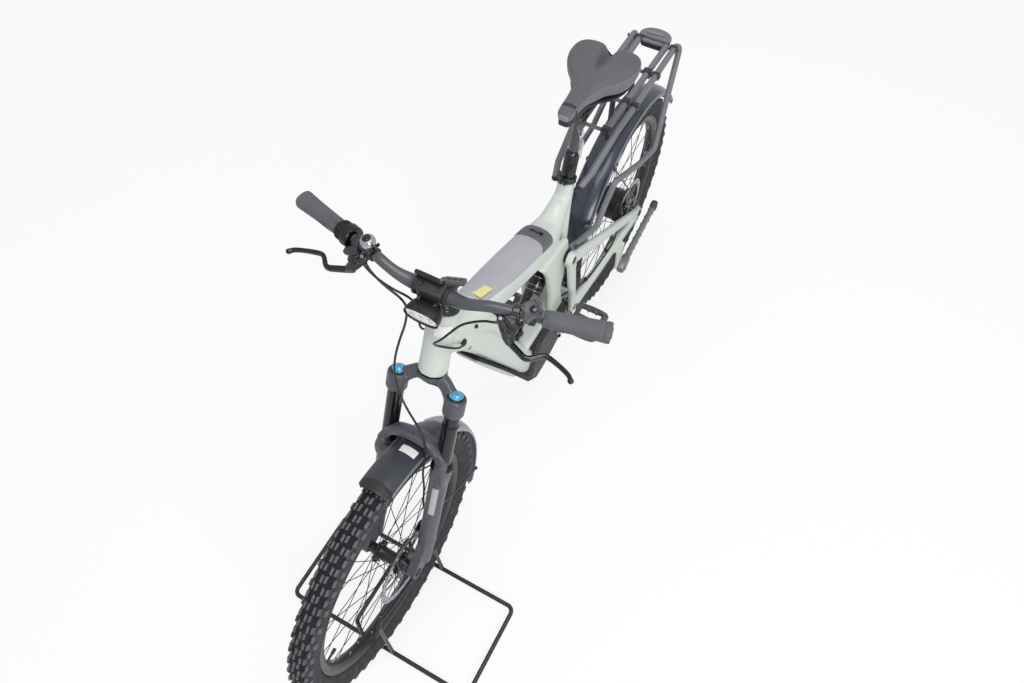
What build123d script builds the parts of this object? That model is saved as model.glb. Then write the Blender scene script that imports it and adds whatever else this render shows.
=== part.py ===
from build123d import *
import os
from math import cos, radians, sin

os.makedirs("parts", exist_ok=True)

# ---------------------------------------------------------------------------
# Full-suspension electric bicycle, parked upright in a wire floor stand.
# Millimetres. +X is forward, +Y the rider's left, +Z up. The origin is on the
# floor, midway between the two axles.
# ---------------------------------------------------------------------------

# Wheels
WHEELBASE = 1321
TYRE_RADIUS = 357
TYRE_WIDTH = 64
TYRE_WALL = 5
BEAD_RADIUS = 296
RIM_DEPTH = 26
RIM_WIDTH = 36
SPOKE_COUNT = 32
SPOKE_RADIUS = 1.1
ROTOR_RADIUS = 101
ROTOR_Y = 44
REAR_X = -WHEELBASE / 2
FRONT_X = WHEELBASE / 2
FRONT_AXLE_R = 7.5
REAR_AXLE_R = 6
RUN = 0.05  # radial running clearance of a turning fit

# Steering and fork: stations s run up the steering axis from the axle's level,
# n is ahead of that axis
HEAD_ANGLE = 65
FORK_RAKE = 52
LEG_N = 16
LEG_Y = 71
STANCHION_R = 18
LEG_R = 23.5
SEAL_S = 330
CROWN_S = 528
HEAD_BOTTOM_S = 556
HEAD_TOP_S = 712
HEAD_R = 32.5
STEERER_R = 15
STEM_S = 782
STEM_N = 61

# Handlebar
BAR_END_Y = 340
BAR_CLAMP_R = 15.9
BAR_R = 11.1
BAR_RISE = 28
BAR_SWEEP = 58
BAR_KNEE_Y = 110
BAR_BORE_R = 9.3
BAR_BORE_DEPTH = 45

# Frame
SEAT_ANGLE = 73
SEAT_CLAMP = (-256, 0, 825)
BB_X = -165
BB_Z = 360
TOP_WIDTH = 84
DOWN_WIDTH = 90
LOWER_PIVOT = (-212, 385)
UPPER_PIVOT = (-172, 642)
ARM_Y = 66  # centre plane of each swingarm side at its front
STAY_THICK = 16
YOKE_X = -250
YOKE_Z = 382

# Crank drive
CRANK_LENGTH = 170
CRANK_LEAN = 65
CRANK_Y = 90
PEDAL_Y = 158
SPINDLE_R = 5.5
BELT_Y = -49
BELT_WIDTH = 8
RING_R = 62
SPROCKET_R = 38

# Kickstand
KICK_PIVOT = (-500, 270)
KICK_LENGTH = 258

# Rack and mudguards
RACK_Z = 885
RACK_FRONT_X = -400
RACK_REAR_X = -800
RAIL_R = 8.5
GUARD_RADIUS = 372
REAR_GUARD_RADIUS = 384
GUARD_THICK = 2.5

# Floor stand
WIRE_R = 6
STAND_REAR_X = FRONT_X - 111
STAND_FRONT_X = FRONT_X + 148
STAND_HALF_WIDTH = 283
HOOP_FOOT_Y = 50
HOOP_TOP_Y = 43

SIDES = (1, -1)  # the rider's left, then right

STEER_UP = Vector(-cos(radians(HEAD_ANGLE)), 0, sin(radians(HEAD_ANGLE)))
STEER_FWD = Vector(sin(radians(HEAD_ANGLE)), 0, cos(radians(HEAD_ANGLE)))
STEER_FOOT = Vector(FRONT_X, 0, TYRE_RADIUS) - STEER_FWD * FORK_RAKE
SEAT_UP = Vector(-cos(radians(SEAT_ANGLE)), 0, sin(radians(SEAT_ANGLE)))


def steer(s, n=0, y=0):
    """A point of the fork or head: s up the steering axis, n ahead of it."""
    return STEER_FOOT + STEER_UP * s + STEER_FWD * n + Vector(0, y, 0)


def steer_plane(s, n=0, y=0):
    """Plane square to the steering axis: local x is forward, local y is left."""
    return Plane(origin=steer(s, n, y), x_dir=STEER_FWD, z_dir=STEER_UP)


def seat(s, n=0, y=0):
    """A point of the seat tube: s above the seat clamp, n ahead of its axis."""
    ahead = Vector(sin(radians(SEAT_ANGLE)), 0, cos(radians(SEAT_ANGLE)))
    return Vector(*SEAT_CLAMP) + SEAT_UP * s + ahead * n + Vector(0, y, 0)


def across(x, z, run_x, run_z, y=0):
    """Plane square to a tube that runs along (run_x, run_z) in side view."""
    return Plane(origin=(x, y, z), x_dir=(0, 1, 0), z_dir=(run_x, 0, run_z))


def hub_plane(x):
    """Half-section plane of a wheel: local x is sideways, local y is radial."""
    return Plane(origin=(x, 0, TYRE_RADIUS), x_dir=(0, 1, 0), z_dir=(1, 0, 0))


def hub_axis(x):
    return Axis((x, 0, TYRE_RADIUS), (0, 1, 0))


def side_plane(y):
    """Side view plane at y: local x is forward, local y is up, normal is -Y."""
    return Plane(origin=(0, y, 0), x_dir=(1, 0, 0), z_dir=(0, -1, 0))


def bar(start, end, radius, mode=Mode.ADD):
    """Round bar between two points, added to the open part."""
    start = Vector(*start)
    run = Vector(*end) - start
    with BuildSketch(Plane(origin=start, z_dir=run)) as disc:
        Circle(radius)
    extrude(disc.sketch, amount=run.length, mode=mode)


def bent_rod(points, bend, radius):
    """Round rod along straight runs joined by arcs of one bend radius."""
    with BuildLine() as line:
        FilletPolyline(*points, radius=bend)
    route = line.wires()[0]
    with BuildSketch(Plane(origin=route @ 0, z_dir=route % 0)) as disc:
        Circle(radius)
    sweep(disc.sketch, path=route)


def loft_boxes(sections):
    """Loft through rounded boxes, each (plane, width, height, corner)."""
    faces = []
    for plane, width, height, corner in sections:
        with BuildSketch(plane) as box:
            RectangleRounded(width, height, corner)
        faces.append(box.sketch)
    loft(faces, ruled=True)


def cord(points):
    """Hose or cable route: every arc as large as its two runs allow."""
    points = [Vector(*p) for p in points]
    radii = []
    for before, at, after in zip(points, points[1:], points[2:]):
        run_in = at - before
        run_out = after - at
        turn = radians(run_in.get_angle(run_out))
        short = min(run_in.length, run_out.length)
        radii.append(0.45 * short / (sin(turn / 2) / cos(turn / 2)))
    print("bend radii", [round(r, 1) for r in radii])
    return FilletPolyline(*points, radius=radii)


def cord_solid(points, radius):
    """Solid of a hose or cable along its route."""
    with BuildLine() as line:
        cord(points)
    route = line.wires()[0]
    with BuildSketch(Plane(origin=route @ 0, z_dir=route % 0)) as disc:
        Circle(radius)
    sweep(disc.sketch, path=route)


# ---------------------------------------------------------------------------
# Main frame: head tube, deep top and down tubes that hold the two batteries,
# seat tube neck, two legs beside the damper, motor cradle
# ---------------------------------------------------------------------------
TOP_RUN = (-940, -340)  # direction of the top tube, rearward and down
DOWN_RUN = (-263, -473)

with BuildPart() as main_frame:
    with BuildSketch(steer_plane(HEAD_BOTTOM_S)):
        Circle(HEAD_R)
    extrude(amount=HEAD_TOP_S - HEAD_BOTTOM_S)
    # top tube
    loft_boxes([
        (across(318, 902, *TOP_RUN), 66, 72, 24),
        (across(230, 869, *TOP_RUN), TOP_WIDTH, 70, 24),
        (across(60, 802, *TOP_RUN), TOP_WIDTH, 80, 24),
        (across(-100, 742, *TOP_RUN), TOP_WIDTH, 86, 24),
        (across(-150, 733, -1, -0.15), 72, 80, 24),
    ])
    # down tube
    loft_boxes([
        (across(338, 892, -0.75, -0.6), 60, 44, 20),
        (across(283, 848, -0.55, -0.7), 80, 62, 24),
        (across(218, 750, *DOWN_RUN), DOWN_WIDTH, 74, 24),
        (across(50, 438, *DOWN_RUN), DOWN_WIDTH, 78, 24),
        (across(0, 351, *DOWN_RUN), DOWN_WIDTH + 6, 82, 24),
    ])
    # neck from the top tube up to the seat clamp
    loft_boxes([
        (across(-130, 735, -1, -0.15), 78, 80, 24),
        (across(-180, 742, -0.9, 0.4), 62, 74, 22),
        (across(-222, 775, -0.6, 0.8), 48, 54, 20),
        (Plane(origin=seat(-16), x_dir=(0, 1, 0), z_dir=SEAT_UP), 43, 45, 20),
    ])
    # seat tube from the clamp down to the legs
    loft_boxes([
        (Plane(origin=seat(depth), x_dir=(0, 1, 0), z_dir=SEAT_UP), width, length, corner)
        for depth, width, length, corner in ((0, 42, 42, 20), (-80, 50, 48, 20), (-200, 66, 56, 20))
    ])
    # two legs, one each side of the damper, down to the motor cradle
    for side in SIDES:
        with BuildSketch(side_plane(side * 40 + 9)):
            with BuildLine():
                Polyline((-196, 640), (-180, 700), (-62, 716), (-84, 640), (-104, 540), (-112, 436),
                         (-178, 430), (-158, 520), (-196, 640))
            make_face()
        extrude(amount=18)
    # motor cradle above the drive unit
    with BuildSketch(side_plane(44)):
        with BuildLine():
            Polyline((60, 452), (10, 470), (-110, 458), (-196, 452), (-232, 400),
                     (-224, 386), (-180, 440), (30, 440), (60, 452))
        make_face()
    extrude(amount=88)
    # bore for the steerer, relieved between the two bearings
    with BuildSketch(steer_plane(HEAD_BOTTOM_S)):
        Circle(STEERER_R + RUN)
    extrude(amount=HEAD_TOP_S - HEAD_BOTTOM_S, mode=Mode.SUBTRACT)
    with BuildSketch(Plane(origin=seat(2), x_dir=(0, 1, 0), z_dir=-SEAT_UP)):
        Circle(15.5)
    extrude(amount=140, mode=Mode.SUBTRACT)
main_frame.part.label = "main_frame"
export_step(main_frame.part, "parts/main_frame.step")

# ---------------------------------------------------------------------------
# Pieces carried by the main frame
# ---------------------------------------------------------------------------
# cover of the upper battery, let onto the back of the top tube
with BuildPart() as upper_battery_cover:
    cover = []
    for x, z, half in ((226, 907, 31), (120, 869, 36), (0, 826, 38), (-46, 809, 38)):
        with BuildSketch(across(x, z, *TOP_RUN)) as slice_:
            with BuildLine():
                ThreePointArc((-half, 7), (0, -8), (half, 7))
                Line((half, 7), (-half, 7))
            make_face()
        cover.append(slice_.sketch)
    loft(cover, ruled=True)
    add(main_frame.part, mode=Mode.SUBTRACT)
upper_battery_cover.part.label = "upper_battery_cover"
export_step(upper_battery_cover.part, "parts/upper_battery_cover.step")

# rubber collar with the battery latch behind the cover
with BuildPart() as battery_latch:
    latch = []
    for x, z, half in ((-47, 810, 39), (-74, 800, 38), (-98, 787, 34)):
        with BuildSketch(across(x, z, *TOP_RUN)) as slice_:
            with BuildLine():
                ThreePointArc((-half, 12), (0, -10), (half, 12))
                Line((half, 12), (-half, 12))
            make_face()
        latch.append(slice_.sketch)
    loft(latch, ruled=True)
    add(main_frame.part, mode=Mode.SUBTRACT)
    add(upper_battery_cover.part, mode=Mode.SUBTRACT)
battery_latch.part.label = "battery_latch"
export_step(battery_latch.part, "parts/battery_latch.step")

# cover along the belly of the down tube
with BuildPart() as lower_battery_cover:
    loft_boxes([
        (across(256, 728, *DOWN_RUN), 66, 12, 5),
        (across(60, 361, *DOWN_RUN), 70, 12, 5),
    ])
lower_battery_cover.part.label = "lower_battery_cover"
export_step(lower_battery_cover.part, "parts/lower_battery_cover.step")

# drive unit: one block with the crank bore and a ribbed belly
with BuildPart() as drive_unit:
    with BuildSketch(side_plane(60)):
        with BuildLine():
            Polyline((34, 300), (34, 330), (-20, 436), (-176, 436), (-216, 388), (-216, 330),
                     (-186, 300), (-60, 268), (0, 268), (34, 300))
        make_face()
    extrude(amount=100)
    chamfer(drive_unit.faces().filter_by(Axis.Y).edges(), length=9)
    with Locations(*[(x, 10, 266) for x in range(-52, 8, 12)]):
        Box(5, 74, 10, mode=Mode.SUBTRACT)
    bar((BB_X, CRANK_Y - 14, BB_Z), (BB_X, -41, BB_Z), 34)
    add(main_frame.part, mode=Mode.SUBTRACT)
    add(lower_battery_cover.part, mode=Mode.SUBTRACT)
    bar((BB_X, 120, BB_Z), (BB_X, -120, BB_Z), 12 + RUN, Mode.SUBTRACT)
drive_unit.part.label = "drive_unit"
export_step(drive_unit.part, "parts/drive_unit.step")

# damper between the swingarm's yoke and a lug on the down tube
SHOCK_LINK = Vector(-206, 0, 572)
SHOCK_REAR = Vector(-135, 0, 605)
SHOCK_FRONT = Vector(12, 0, 495)
with BuildPart() as shock_absorber:
    damper = SHOCK_FRONT - SHOCK_REAR
    along = damper.normalized()
    bar(SHOCK_REAR, SHOCK_FRONT, 6)
    bar(SHOCK_REAR + along * 18, SHOCK_REAR + along * 108, 21)
    bar(SHOCK_REAR + along * 108, SHOCK_REAR + along * 122, 24)
    bar(SHOCK_FRONT - along * 30, SHOCK_FRONT - along * 14, 14)
    for eye in (SHOCK_LINK, SHOCK_REAR, SHOCK_FRONT):
        bar(eye + Vector(0, 16, 0), eye - Vector(0, 16, 0), 13)
    with BuildSketch(Plane(origin=SHOCK_LINK, x_dir=(0, 1, 0), z_dir=SHOCK_REAR - SHOCK_LINK)):
        RectangleRounded(28, 20, 4)
    extrude(amount=(SHOCK_REAR - SHOCK_LINK).length)
    bar(SHOCK_FRONT, SHOCK_FRONT + Vector(36, 0, -14), 11)
    for eye in (SHOCK_LINK, SHOCK_REAR, SHOCK_FRONT):
        bar(eye + Vector(0, 20, 0), eye - Vector(0, 20, 0), 5, Mode.SUBTRACT)
    add(main_frame.part, mode=Mode.SUBTRACT)
shock_absorber.part.label = "shock_absorber"
export_step(shock_absorber.part, "parts/shock_absorber.step")

# swingarm: a triangle each side of the wheel, joined by two bridges
DROPOUT_Y = 80
with BuildPart() as swingarm:
    for side in SIDES:
        front_low = Vector(LOWER_PIVOT[0], side * ARM_Y, LOWER_PIVOT[1])
        front_high = Vector(UPPER_PIVOT[0], side * ARM_Y, UPPER_PIVOT[1])
        dropout = Vector(REAR_X + 14, side * DROPOUT_Y, TYRE_RADIUS + 4)
        for start, end, deep, end_deep in (
            (front_low, dropout - Vector(0, 0, 8), 44, 28),
            (front_high, dropout + Vector(0, 0, 8), 36, 26),
            (front_high, front_low, 36, 36),
        ):
            run = end - start
            level = Vector(0, 1, 0) - run * (run.Y / run.length**2)
            loft_boxes([(Plane(origin=place, x_dir=level, z_dir=run), STAY_THICK, height, 6)
                        for place, height in ((start, deep), (end, end_deep))])
        for corner, size in ((front_low, 24), (front_high, 22)):
            bar(corner + Vector(0, 8, 0), corner - Vector(0, 8, 0), size)
        bar((REAR_X, side * 74.5, TYRE_RADIUS), (REAR_X, side * 88, TYRE_RADIUS), 24)
    # yoke behind the drive unit, pivot pins, and the pin that works the damper
    bar((YOKE_X, -ARM_Y, YOKE_Z), (YOKE_X, ARM_Y, YOKE_Z), 10)
    bar((LOWER_PIVOT[0], 30, LOWER_PIVOT[1]), (LOWER_PIVOT[0], ARM_Y, LOWER_PIVOT[1]), 8)
    bar((UPPER_PIVOT[0], -ARM_Y, UPPER_PIVOT[1]), (UPPER_PIVOT[0], ARM_Y, UPPER_PIVOT[1]), 9)
    for side in SIDES:
        bar(SHOCK_LINK + Vector(0, side * ARM_Y, 0), SHOCK_LINK + Vector(0, side * 20.2, 0), 12)
    bar(SHOCK_LINK - Vector(0, 21, 0), SHOCK_LINK + Vector(0, 21, 0), 4.95)
    bar((REAR_X, 74.5, TYRE_RADIUS), (REAR_X, -74.5, TYRE_RADIUS), 34, Mode.SUBTRACT)
    # bore of the rear axle
    bar((REAR_X, 100, TYRE_RADIUS), (REAR_X, -100, TYRE_RADIUS), REAR_AXLE_R, Mode.SUBTRACT)
    # kickstand bracket on the left lower stay
    kick = Vector(KICK_PIVOT[0], 0, KICK_PIVOT[1])
    with BuildSketch(side_plane(100)):
        with BuildLine():
            Polyline((-522, 356), (-478, 360), (-484, 268), (-516, 268), (-522, 356))
        make_face()
    extrude(amount=10)
    bar(kick + Vector(0, 91, 0), kick + Vector(0, 118, 0), 5)
    bar((-500, 78, 350), (-500, 91, 350), 10)
    add(main_frame.part, mode=Mode.SUBTRACT)
    add(drive_unit.part, mode=Mode.SUBTRACT)
swingarm.part.label = "swingarm"
export_step(swingarm.part, "parts/swingarm.step")

with BuildPart() as rear_axle:
    bar((REAR_X, -88, TYRE_RADIUS), (REAR_X, 92, TYRE_RADIUS), REAR_AXLE_R)
    bar((REAR_X, 88, TYRE_RADIUS), (REAR_X, 94, TYRE_RADIUS), 11)
rear_axle.part.label = "rear_axle"
export_step(rear_axle.part, "parts/rear_axle.step")

# fixed calipers grip the rotors without touching them
def caliper(hub_x, angle, mount_y):
    """Two-piston caliper straddling a rotor, seen at an angle round the hub."""
    reach = Vector(cos(radians(angle)), 0, sin(radians(angle)))
    hub = Vector(hub_x, 0, TYRE_RADIUS)
    body = Plane(origin=hub + reach * 80 + Vector(0, ROTOR_Y, 0), x_dir=(0, 1, 0), z_dir=reach)
    with BuildSketch(body) as outline:
        with Locations((3, 0)):
            RectangleRounded(26, 62, 9)
    extrude(outline.sketch, amount=40)
    with BuildSketch(body.offset(-1)) as slot:
        Rectangle(9, 70)
    extrude(slot.sketch, amount=31, mode=Mode.SUBTRACT)
    with BuildSketch(body.offset(8)) as lug:
        with Locations((mount_y - ROTOR_Y, 0)):
            RectangleRounded(18, 76, 7)
    extrude(lug.sketch, amount=16)


with BuildPart() as rear_caliper:
    caliper(REAR_X, 35, ROTOR_Y + 22)
    add(swingarm.part, mode=Mode.SUBTRACT)
rear_caliper.part.label = "rear_caliper"
export_step(rear_caliper.part, "parts/rear_caliper.step")

# dropper seatpost: fixed sleeve, thinner mast, clamp head
with BuildPart() as seatpost:
    bar(seat(-130), seat(84), 15.4)
    bar(seat(10), seat(78), 18.5)
    bar(seat(84), seat(182), 13)
    head = seat(190)
    with BuildSketch(Plane(origin=head - Vector(0, 0, 16), x_dir=(1, 0, 0), z_dir=(0, 0, 1))) as clamp:
        RectangleRounded(44, 34, 6)
    extrude(clamp.sketch, amount=20)
seatpost.part.label = "seatpost"
export_step(seatpost.part, "parts/seatpost.step")

with BuildPart() as seat_clamp:
    bar(seat(0), seat(14), 24)
    bar(seat(7, 20, 14), seat(7, 20, -14), 6)
    bar(seat(-2), seat(16), 18.6, Mode.SUBTRACT)
seat_clamp.part.label = "seat_clamp"
export_step(seat_clamp.part, "parts/seat_clamp.step")

# two parallel rails under the saddle
with BuildPart() as saddle_rails:
    for side in SIDES:
        bent_rod([(-250, side * 14, 1032), (-268, side * 22, 1006), (-350, side * 22, 1006),
                  (-402, side * 30, 1034)], 10, 3.5)
saddle_rails.part.label = "saddle_rails"
export_step(saddle_rails.part, "parts/saddle_rails.step")

# saddle: nose, waist and two rear lobes
with BuildPart() as saddle:
    with BuildSketch(Plane.XY.offset(1026)):
        with BuildLine():
            Spline((-232, 0), (-242, 20), (-300, 28), (-350, 50), (-398, 82), (-440, 86),
                   (-476, 64), (-484, 36))
            Line((-484, 36), (-430, 0))
            mirror(about=Plane.XZ)
        make_face()
    extrude(amount=36)
    add(saddle_rails.part, mode=Mode.SUBTRACT)
saddle.part.label = "saddle"
export_step(saddle.part, "parts/saddle.step")

# rack: two deck rails, cross bars, and two outer tubes that run back along the
# deck, down beside the wheel and forward again to the swingarm's upper pivot
with BuildPart() as rack:
    for side in SIDES:
        bar((RACK_FRONT_X, side * 34, RACK_Z), (RACK_REAR_X + 18, side * 40, RACK_Z), RAIL_R)
        bent_rod([(-262, side * 35, 812), (-300, side * 46, 830), (-420, side * 56, 876),
                  (-560, side * 62, RACK_Z), (RACK_REAR_X + 6, side * 62, RACK_Z),
                  (RACK_REAR_X - 24, side * 67, RACK_Z - 20), (-650, side * 98, 648), (-560, side * 90, 662),
                  (-425, side * 70, 700), (-392, side * 62, 640), (-352, side * 60, 588),
                  (-262, side * 50, 614), (-212, side * 47, 640)], 15, RAIL_R)
        bar((-214, side * 44, 640), (-194, side * 66, 642), 6)
    for x, half in ((RACK_FRONT_X, 34), (-520, 60), (-655, 62), (RACK_REAR_X + 18, 62)):
        bar((x, -half, RACK_Z), (x, half, RACK_Z), 5)
    add(swingarm.part, mode=Mode.SUBTRACT)
    add(main_frame.part, mode=Mode.SUBTRACT)
rack.part.label = "rack"
export_step(rack.part, "parts/rack.step")

# curved carrier plate and lamp housing behind the deck
with BuildPart() as rear_light:
    with BuildSketch(Plane.XY.offset(RACK_Z - 10)) as plate:
        with BuildLine():
            Polyline((-789, -46), (-789, 46), (-818, 44))
            ThreePointArc((-818, 44), (-834, 0), (-818, -44))
            Line((-818, -44), (-789, -46))
        make_face()
    extrude(plate.sketch, amount=20)
    with BuildSketch(Plane.XY.offset(RACK_Z - 36)) as lamp:
        with Locations((-808, 0)):
            RectangleRounded(26, 82, 8)
    extrude(lamp.sketch, amount=26)
    add(rack.part, mode=Mode.SUBTRACT)
rear_light.part.label = "rear_light"
export_step(rear_light.part, "parts/rear_light.step")


def guard_blade(hub_x, radius, half_width, start, end):
    """Crowned mudguard blade round a wheel, from a start to an end angle."""
    with BuildSketch(Plane(origin=(hub_x, 0, TYRE_RADIUS), x_dir=(0, 1, 0),
                           z_dir=(sin(radians(start)), 0, -cos(radians(start))))) as blade:
        with BuildLine():
            ThreePointArc((-half_width, radius - 12), (0, radius + GUARD_THICK), (half_width, radius - 12))
            Line((half_width, radius - 12), (half_width, radius - 15))
            ThreePointArc((half_width, radius - 15), (0, radius), (-half_width, radius - 15))
            Line((-half_width, radius - 15), (-half_width, radius - 12))
        make_face()
    revolve(blade.sketch, axis=Axis((hub_x, 0, TYRE_RADIUS), (0, -1, 0)), revolution_arc=end - start)


# rear mudguard with its stays and the strap up to the rack
with BuildPart() as rear_mudguard:
    guard_blade(REAR_X, REAR_GUARD_RADIUS, 40, 18, 152)
    for side in SIDES:
        for angle in (62, 128):
            tip = Vector(REAR_X + 368 * cos(radians(angle)), side * 41, TYRE_RADIUS + 368 * sin(radians(angle)))
            bar((REAR_X + 6 * cos(radians(angle)), side * 92, TYRE_RADIUS + 30), tip, 2)
    for x in (-655, -520):
        bar((x, 0, 735), (x, 0, RACK_Z - 4), 4)
    add(rack.part, mode=Mode.SUBTRACT)
    add(swingarm.part, mode=Mode.SUBTRACT)
    add(rear_caliper.part, mode=Mode.SUBTRACT)
rear_mudguard.part.label = "rear_mudguard"
export_step(rear_mudguard.part, "parts/rear_mudguard.step")

# ---------------------------------------------------------------------------
# Fork and everything that steers with it
# ---------------------------------------------------------------------------
CROWN_FRONT = Plane(origin=steer(0), x_dir=(0, 1, 0), z_dir=STEER_FWD)  # local y is s

# forged crown: two sockets joined by an arch, with the steerer
with BuildPart() as fork_crown:
    with BuildSketch(CROWN_FRONT.offset(-18)):
        with BuildLine():
            Line((-LEG_Y, CROWN_S), (-50, CROWN_S))
            Line((-50, CROWN_S), (-30, HEAD_BOTTOM_S - 6))
            Line((-30, HEAD_BOTTOM_S - 6), (30, HEAD_BOTTOM_S - 6))
            Line((30, HEAD_BOTTOM_S - 6), (50, CROWN_S))
            Line((50, CROWN_S), (LEG_Y, CROWN_S))
            Line((LEG_Y, CROWN_S), (LEG_Y, CROWN_S - 38))
            Line((LEG_Y, CROWN_S - 38), (LEG_Y - 20, CROWN_S - 42))
            ThreePointArc((LEG_Y - 20, CROWN_S - 42), (0, CROWN_S + 5), (20 - LEG_Y, CROWN_S - 42))
            Line((20 - LEG_Y, CROWN_S - 42), (-LEG_Y, CROWN_S - 38))
            Line((-LEG_Y, CROWN_S - 38), (-LEG_Y, CROWN_S))
        make_face()
    extrude(amount=50)
    for side in SIDES:
        bar(steer(CROWN_S - 44, LEG_N, side * LEG_Y), steer(CROWN_S, LEG_N, side * LEG_Y), 24)
    bar(steer(HEAD_BOTTOM_S - 20), steer(HEAD_BOTTOM_S - 1), 31)
    bar(steer(HEAD_BOTTOM_S - 16), steer(STEM_S - 30), STEERER_R)
    for side in SIDES:
        bar(steer(CROWN_S - 60, LEG_N, side * LEG_Y), steer(CROWN_S - 8, LEG_N, side * LEG_Y),
            STANCHION_R, Mode.SUBTRACT)
fork_crown.part.label = "fork_crown"
export_step(fork_crown.part, "parts/fork_crown.step")

# anodised adjuster caps on both legs
with BuildPart() as fork_caps:
    for side in SIDES:
        bar(steer(CROWN_S, LEG_N, side * LEG_Y), steer(CROWN_S + 5, LEG_N, side * LEG_Y), 19)
        bar(steer(CROWN_S + 5, LEG_N, side * LEG_Y), steer(CROWN_S + 10, LEG_N, side * LEG_Y), 15)
fork_caps.part.label = "fork_caps"
export_step(fork_caps.part, "parts/fork_caps.step")

with BuildPart() as stanchions:
    for side in SIDES:
        bar(steer(120, LEG_N, side * LEG_Y), steer(CROWN_S - 8, LEG_N, side * LEG_Y), STANCHION_R)
stanchions.part.label = "stanchions"
export_step(stanchions.part, "parts/stanchions.step")

# lower legs with their arch and dropouts
with BuildPart() as fork_lowers:
    for side in SIDES:
        leg_y = side * LEG_Y
        bar(steer(6, LEG_N, leg_y), steer(SEAL_S, LEG_N, leg_y), LEG_R)
        bar(steer(SEAL_S - 30, LEG_N, leg_y), steer(SEAL_S, LEG_N, leg_y), LEG_R + 3)
        inner = side * 56
        outer = side * 82
        bar(steer(0, FORK_RAKE, inner), steer(0, FORK_RAKE, outer), 19)
        outer_face = Plane(origin=steer(0, 0, max(inner, outer)), x_dir=STEER_FWD, z_dir=(0, -1, 0))
        with BuildSketch(outer_face) as lug:
            with BuildLine():
                Polyline((LEG_N - 12, 60), (LEG_N + 20, 70), (FORK_RAKE + 19, 0), (FORK_RAKE, -19),
                         (LEG_N + 2, -6), (LEG_N - 12, 20), (LEG_N - 12, 60))
            make_face()
        extrude(lug.sketch, amount=26)
    with BuildSketch(CROWN_FRONT.offset(18)):
        with BuildLine():
            Line((-92, 296), (-84, 352))
            ThreePointArc((-84, 352), (0, 410), (84, 352))
            Line((84, 352), (92, 296))
            Line((92, 296), (47, 296))
            Line((47, 296), (45, 334))
            ThreePointArc((45, 334), (0, 387), (-45, 334))
            Line((-45, 334), (-47, 296))
            Line((-47, 296), (-92, 296))
        make_face()
    extrude(amount=24)
    for side in SIDES:
        bar(steer(110, LEG_N, side * LEG_Y), steer(SEAL_S + 90, LEG_N, side * LEG_Y),
            STANCHION_R + 0.2, Mode.SUBTRACT)
    bar(steer(0, FORK_RAKE, 90), steer(0, FORK_RAKE, -90), FRONT_AXLE_R, Mode.SUBTRACT)
fork_lowers.part.label = "fork_lowers"
export_step(fork_lowers.part, "parts/fork_lowers.step")

with BuildPart() as front_axle:
    bar((FRONT_X, -84, TYRE_RADIUS), (FRONT_X, 86, TYRE_RADIUS), FRONT_AXLE_R)
    bar((FRONT_X, -82, TYRE_RADIUS), (FRONT_X, -88, TYRE_RADIUS), 11)
front_axle.part.label = "front_axle"
export_step(front_axle.part, "parts/front_axle.step")

# stem with its tapered spacer and the bar clamp
with BuildPart() as stem:
    loft_faces = []
    for s, r in ((HEAD_TOP_S + 1, 31), (HEAD_TOP_S + 24, 23)):
        with BuildSketch(steer_plane(s)) as ring:
            Circle(r)
        loft_faces.append(ring.sketch)
    loft(loft_faces, ruled=True)
    bar(steer(HEAD_TOP_S + 24), steer(HEAD_TOP_S + 62), 20)
    rise = steer(STEM_S, STEM_N) - steer(HEAD_TOP_S + 42)
    loft_boxes([
        (Plane(origin=steer(HEAD_TOP_S + 42) + rise * share, x_dir=(0, 1, 0), z_dir=rise), width, 34, 10)
        for share, width in ((0.12, 38), (0.9, 46))
    ])
    bar(steer(STEM_S, STEM_N, -26), steer(STEM_S, STEM_N, 26), 21)
    bar(steer(STEM_S, STEM_N, -60), steer(STEM_S, STEM_N, 60), BAR_CLAMP_R, Mode.SUBTRACT)
    bar(steer(HEAD_TOP_S), steer(STEM_S - 30), STEERER_R, Mode.SUBTRACT)
stem.part.label = "stem"
export_step(stem.part, "parts/stem.step")

CLAMP = steer(STEM_S, STEM_N)


def bar_at(y):
    """Centre of the straight outer part of the handlebar at a distance y."""
    share = (abs(y) - BAR_KNEE_Y) / (BAR_END_Y - BAR_KNEE_Y)
    return Vector(CLAMP.X + 2 - (BAR_SWEEP + 2) * share, y, CLAMP.Z + BAR_RISE - 8 * share)


# riser handlebar, swept back at both ends, where it is bored for plugs or mirrors
with BuildPart() as handlebar:
    bent_rod([bar_at(-BAR_END_Y), bar_at(-BAR_KNEE_Y), CLAMP - Vector(0, 52, 0),
              CLAMP + Vector(0, 52, 0), bar_at(BAR_KNEE_Y), bar_at(BAR_END_Y)], 40, BAR_R)
    bar(CLAMP - Vector(0, 38, 0), CLAMP + Vector(0, 38, 0), BAR_CLAMP_R)
    for side in SIDES:
        tip = bar_at(side * BAR_END_Y)
        outward = (tip - bar_at(side * BAR_KNEE_Y)).normalized()
        bar(tip - outward * BAR_BORE_DEPTH, tip + outward * 10, BAR_BORE_R, Mode.SUBTRACT)
handlebar.part.label = "handlebar"
export_step(handlebar.part, "parts/handlebar.step")


def bar_ring(y_from, y_to, radius):
    """Ring round the bar between two distances from the centre."""
    bar(bar_at(y_from), bar_at(y_to), radius)


def clear_bar(side):
    """Cut the bar's own bore out of what sits on it."""
    bar(bar_at(side * 120), bar_at(side * 360), BAR_R, Mode.SUBTRACT)


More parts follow.
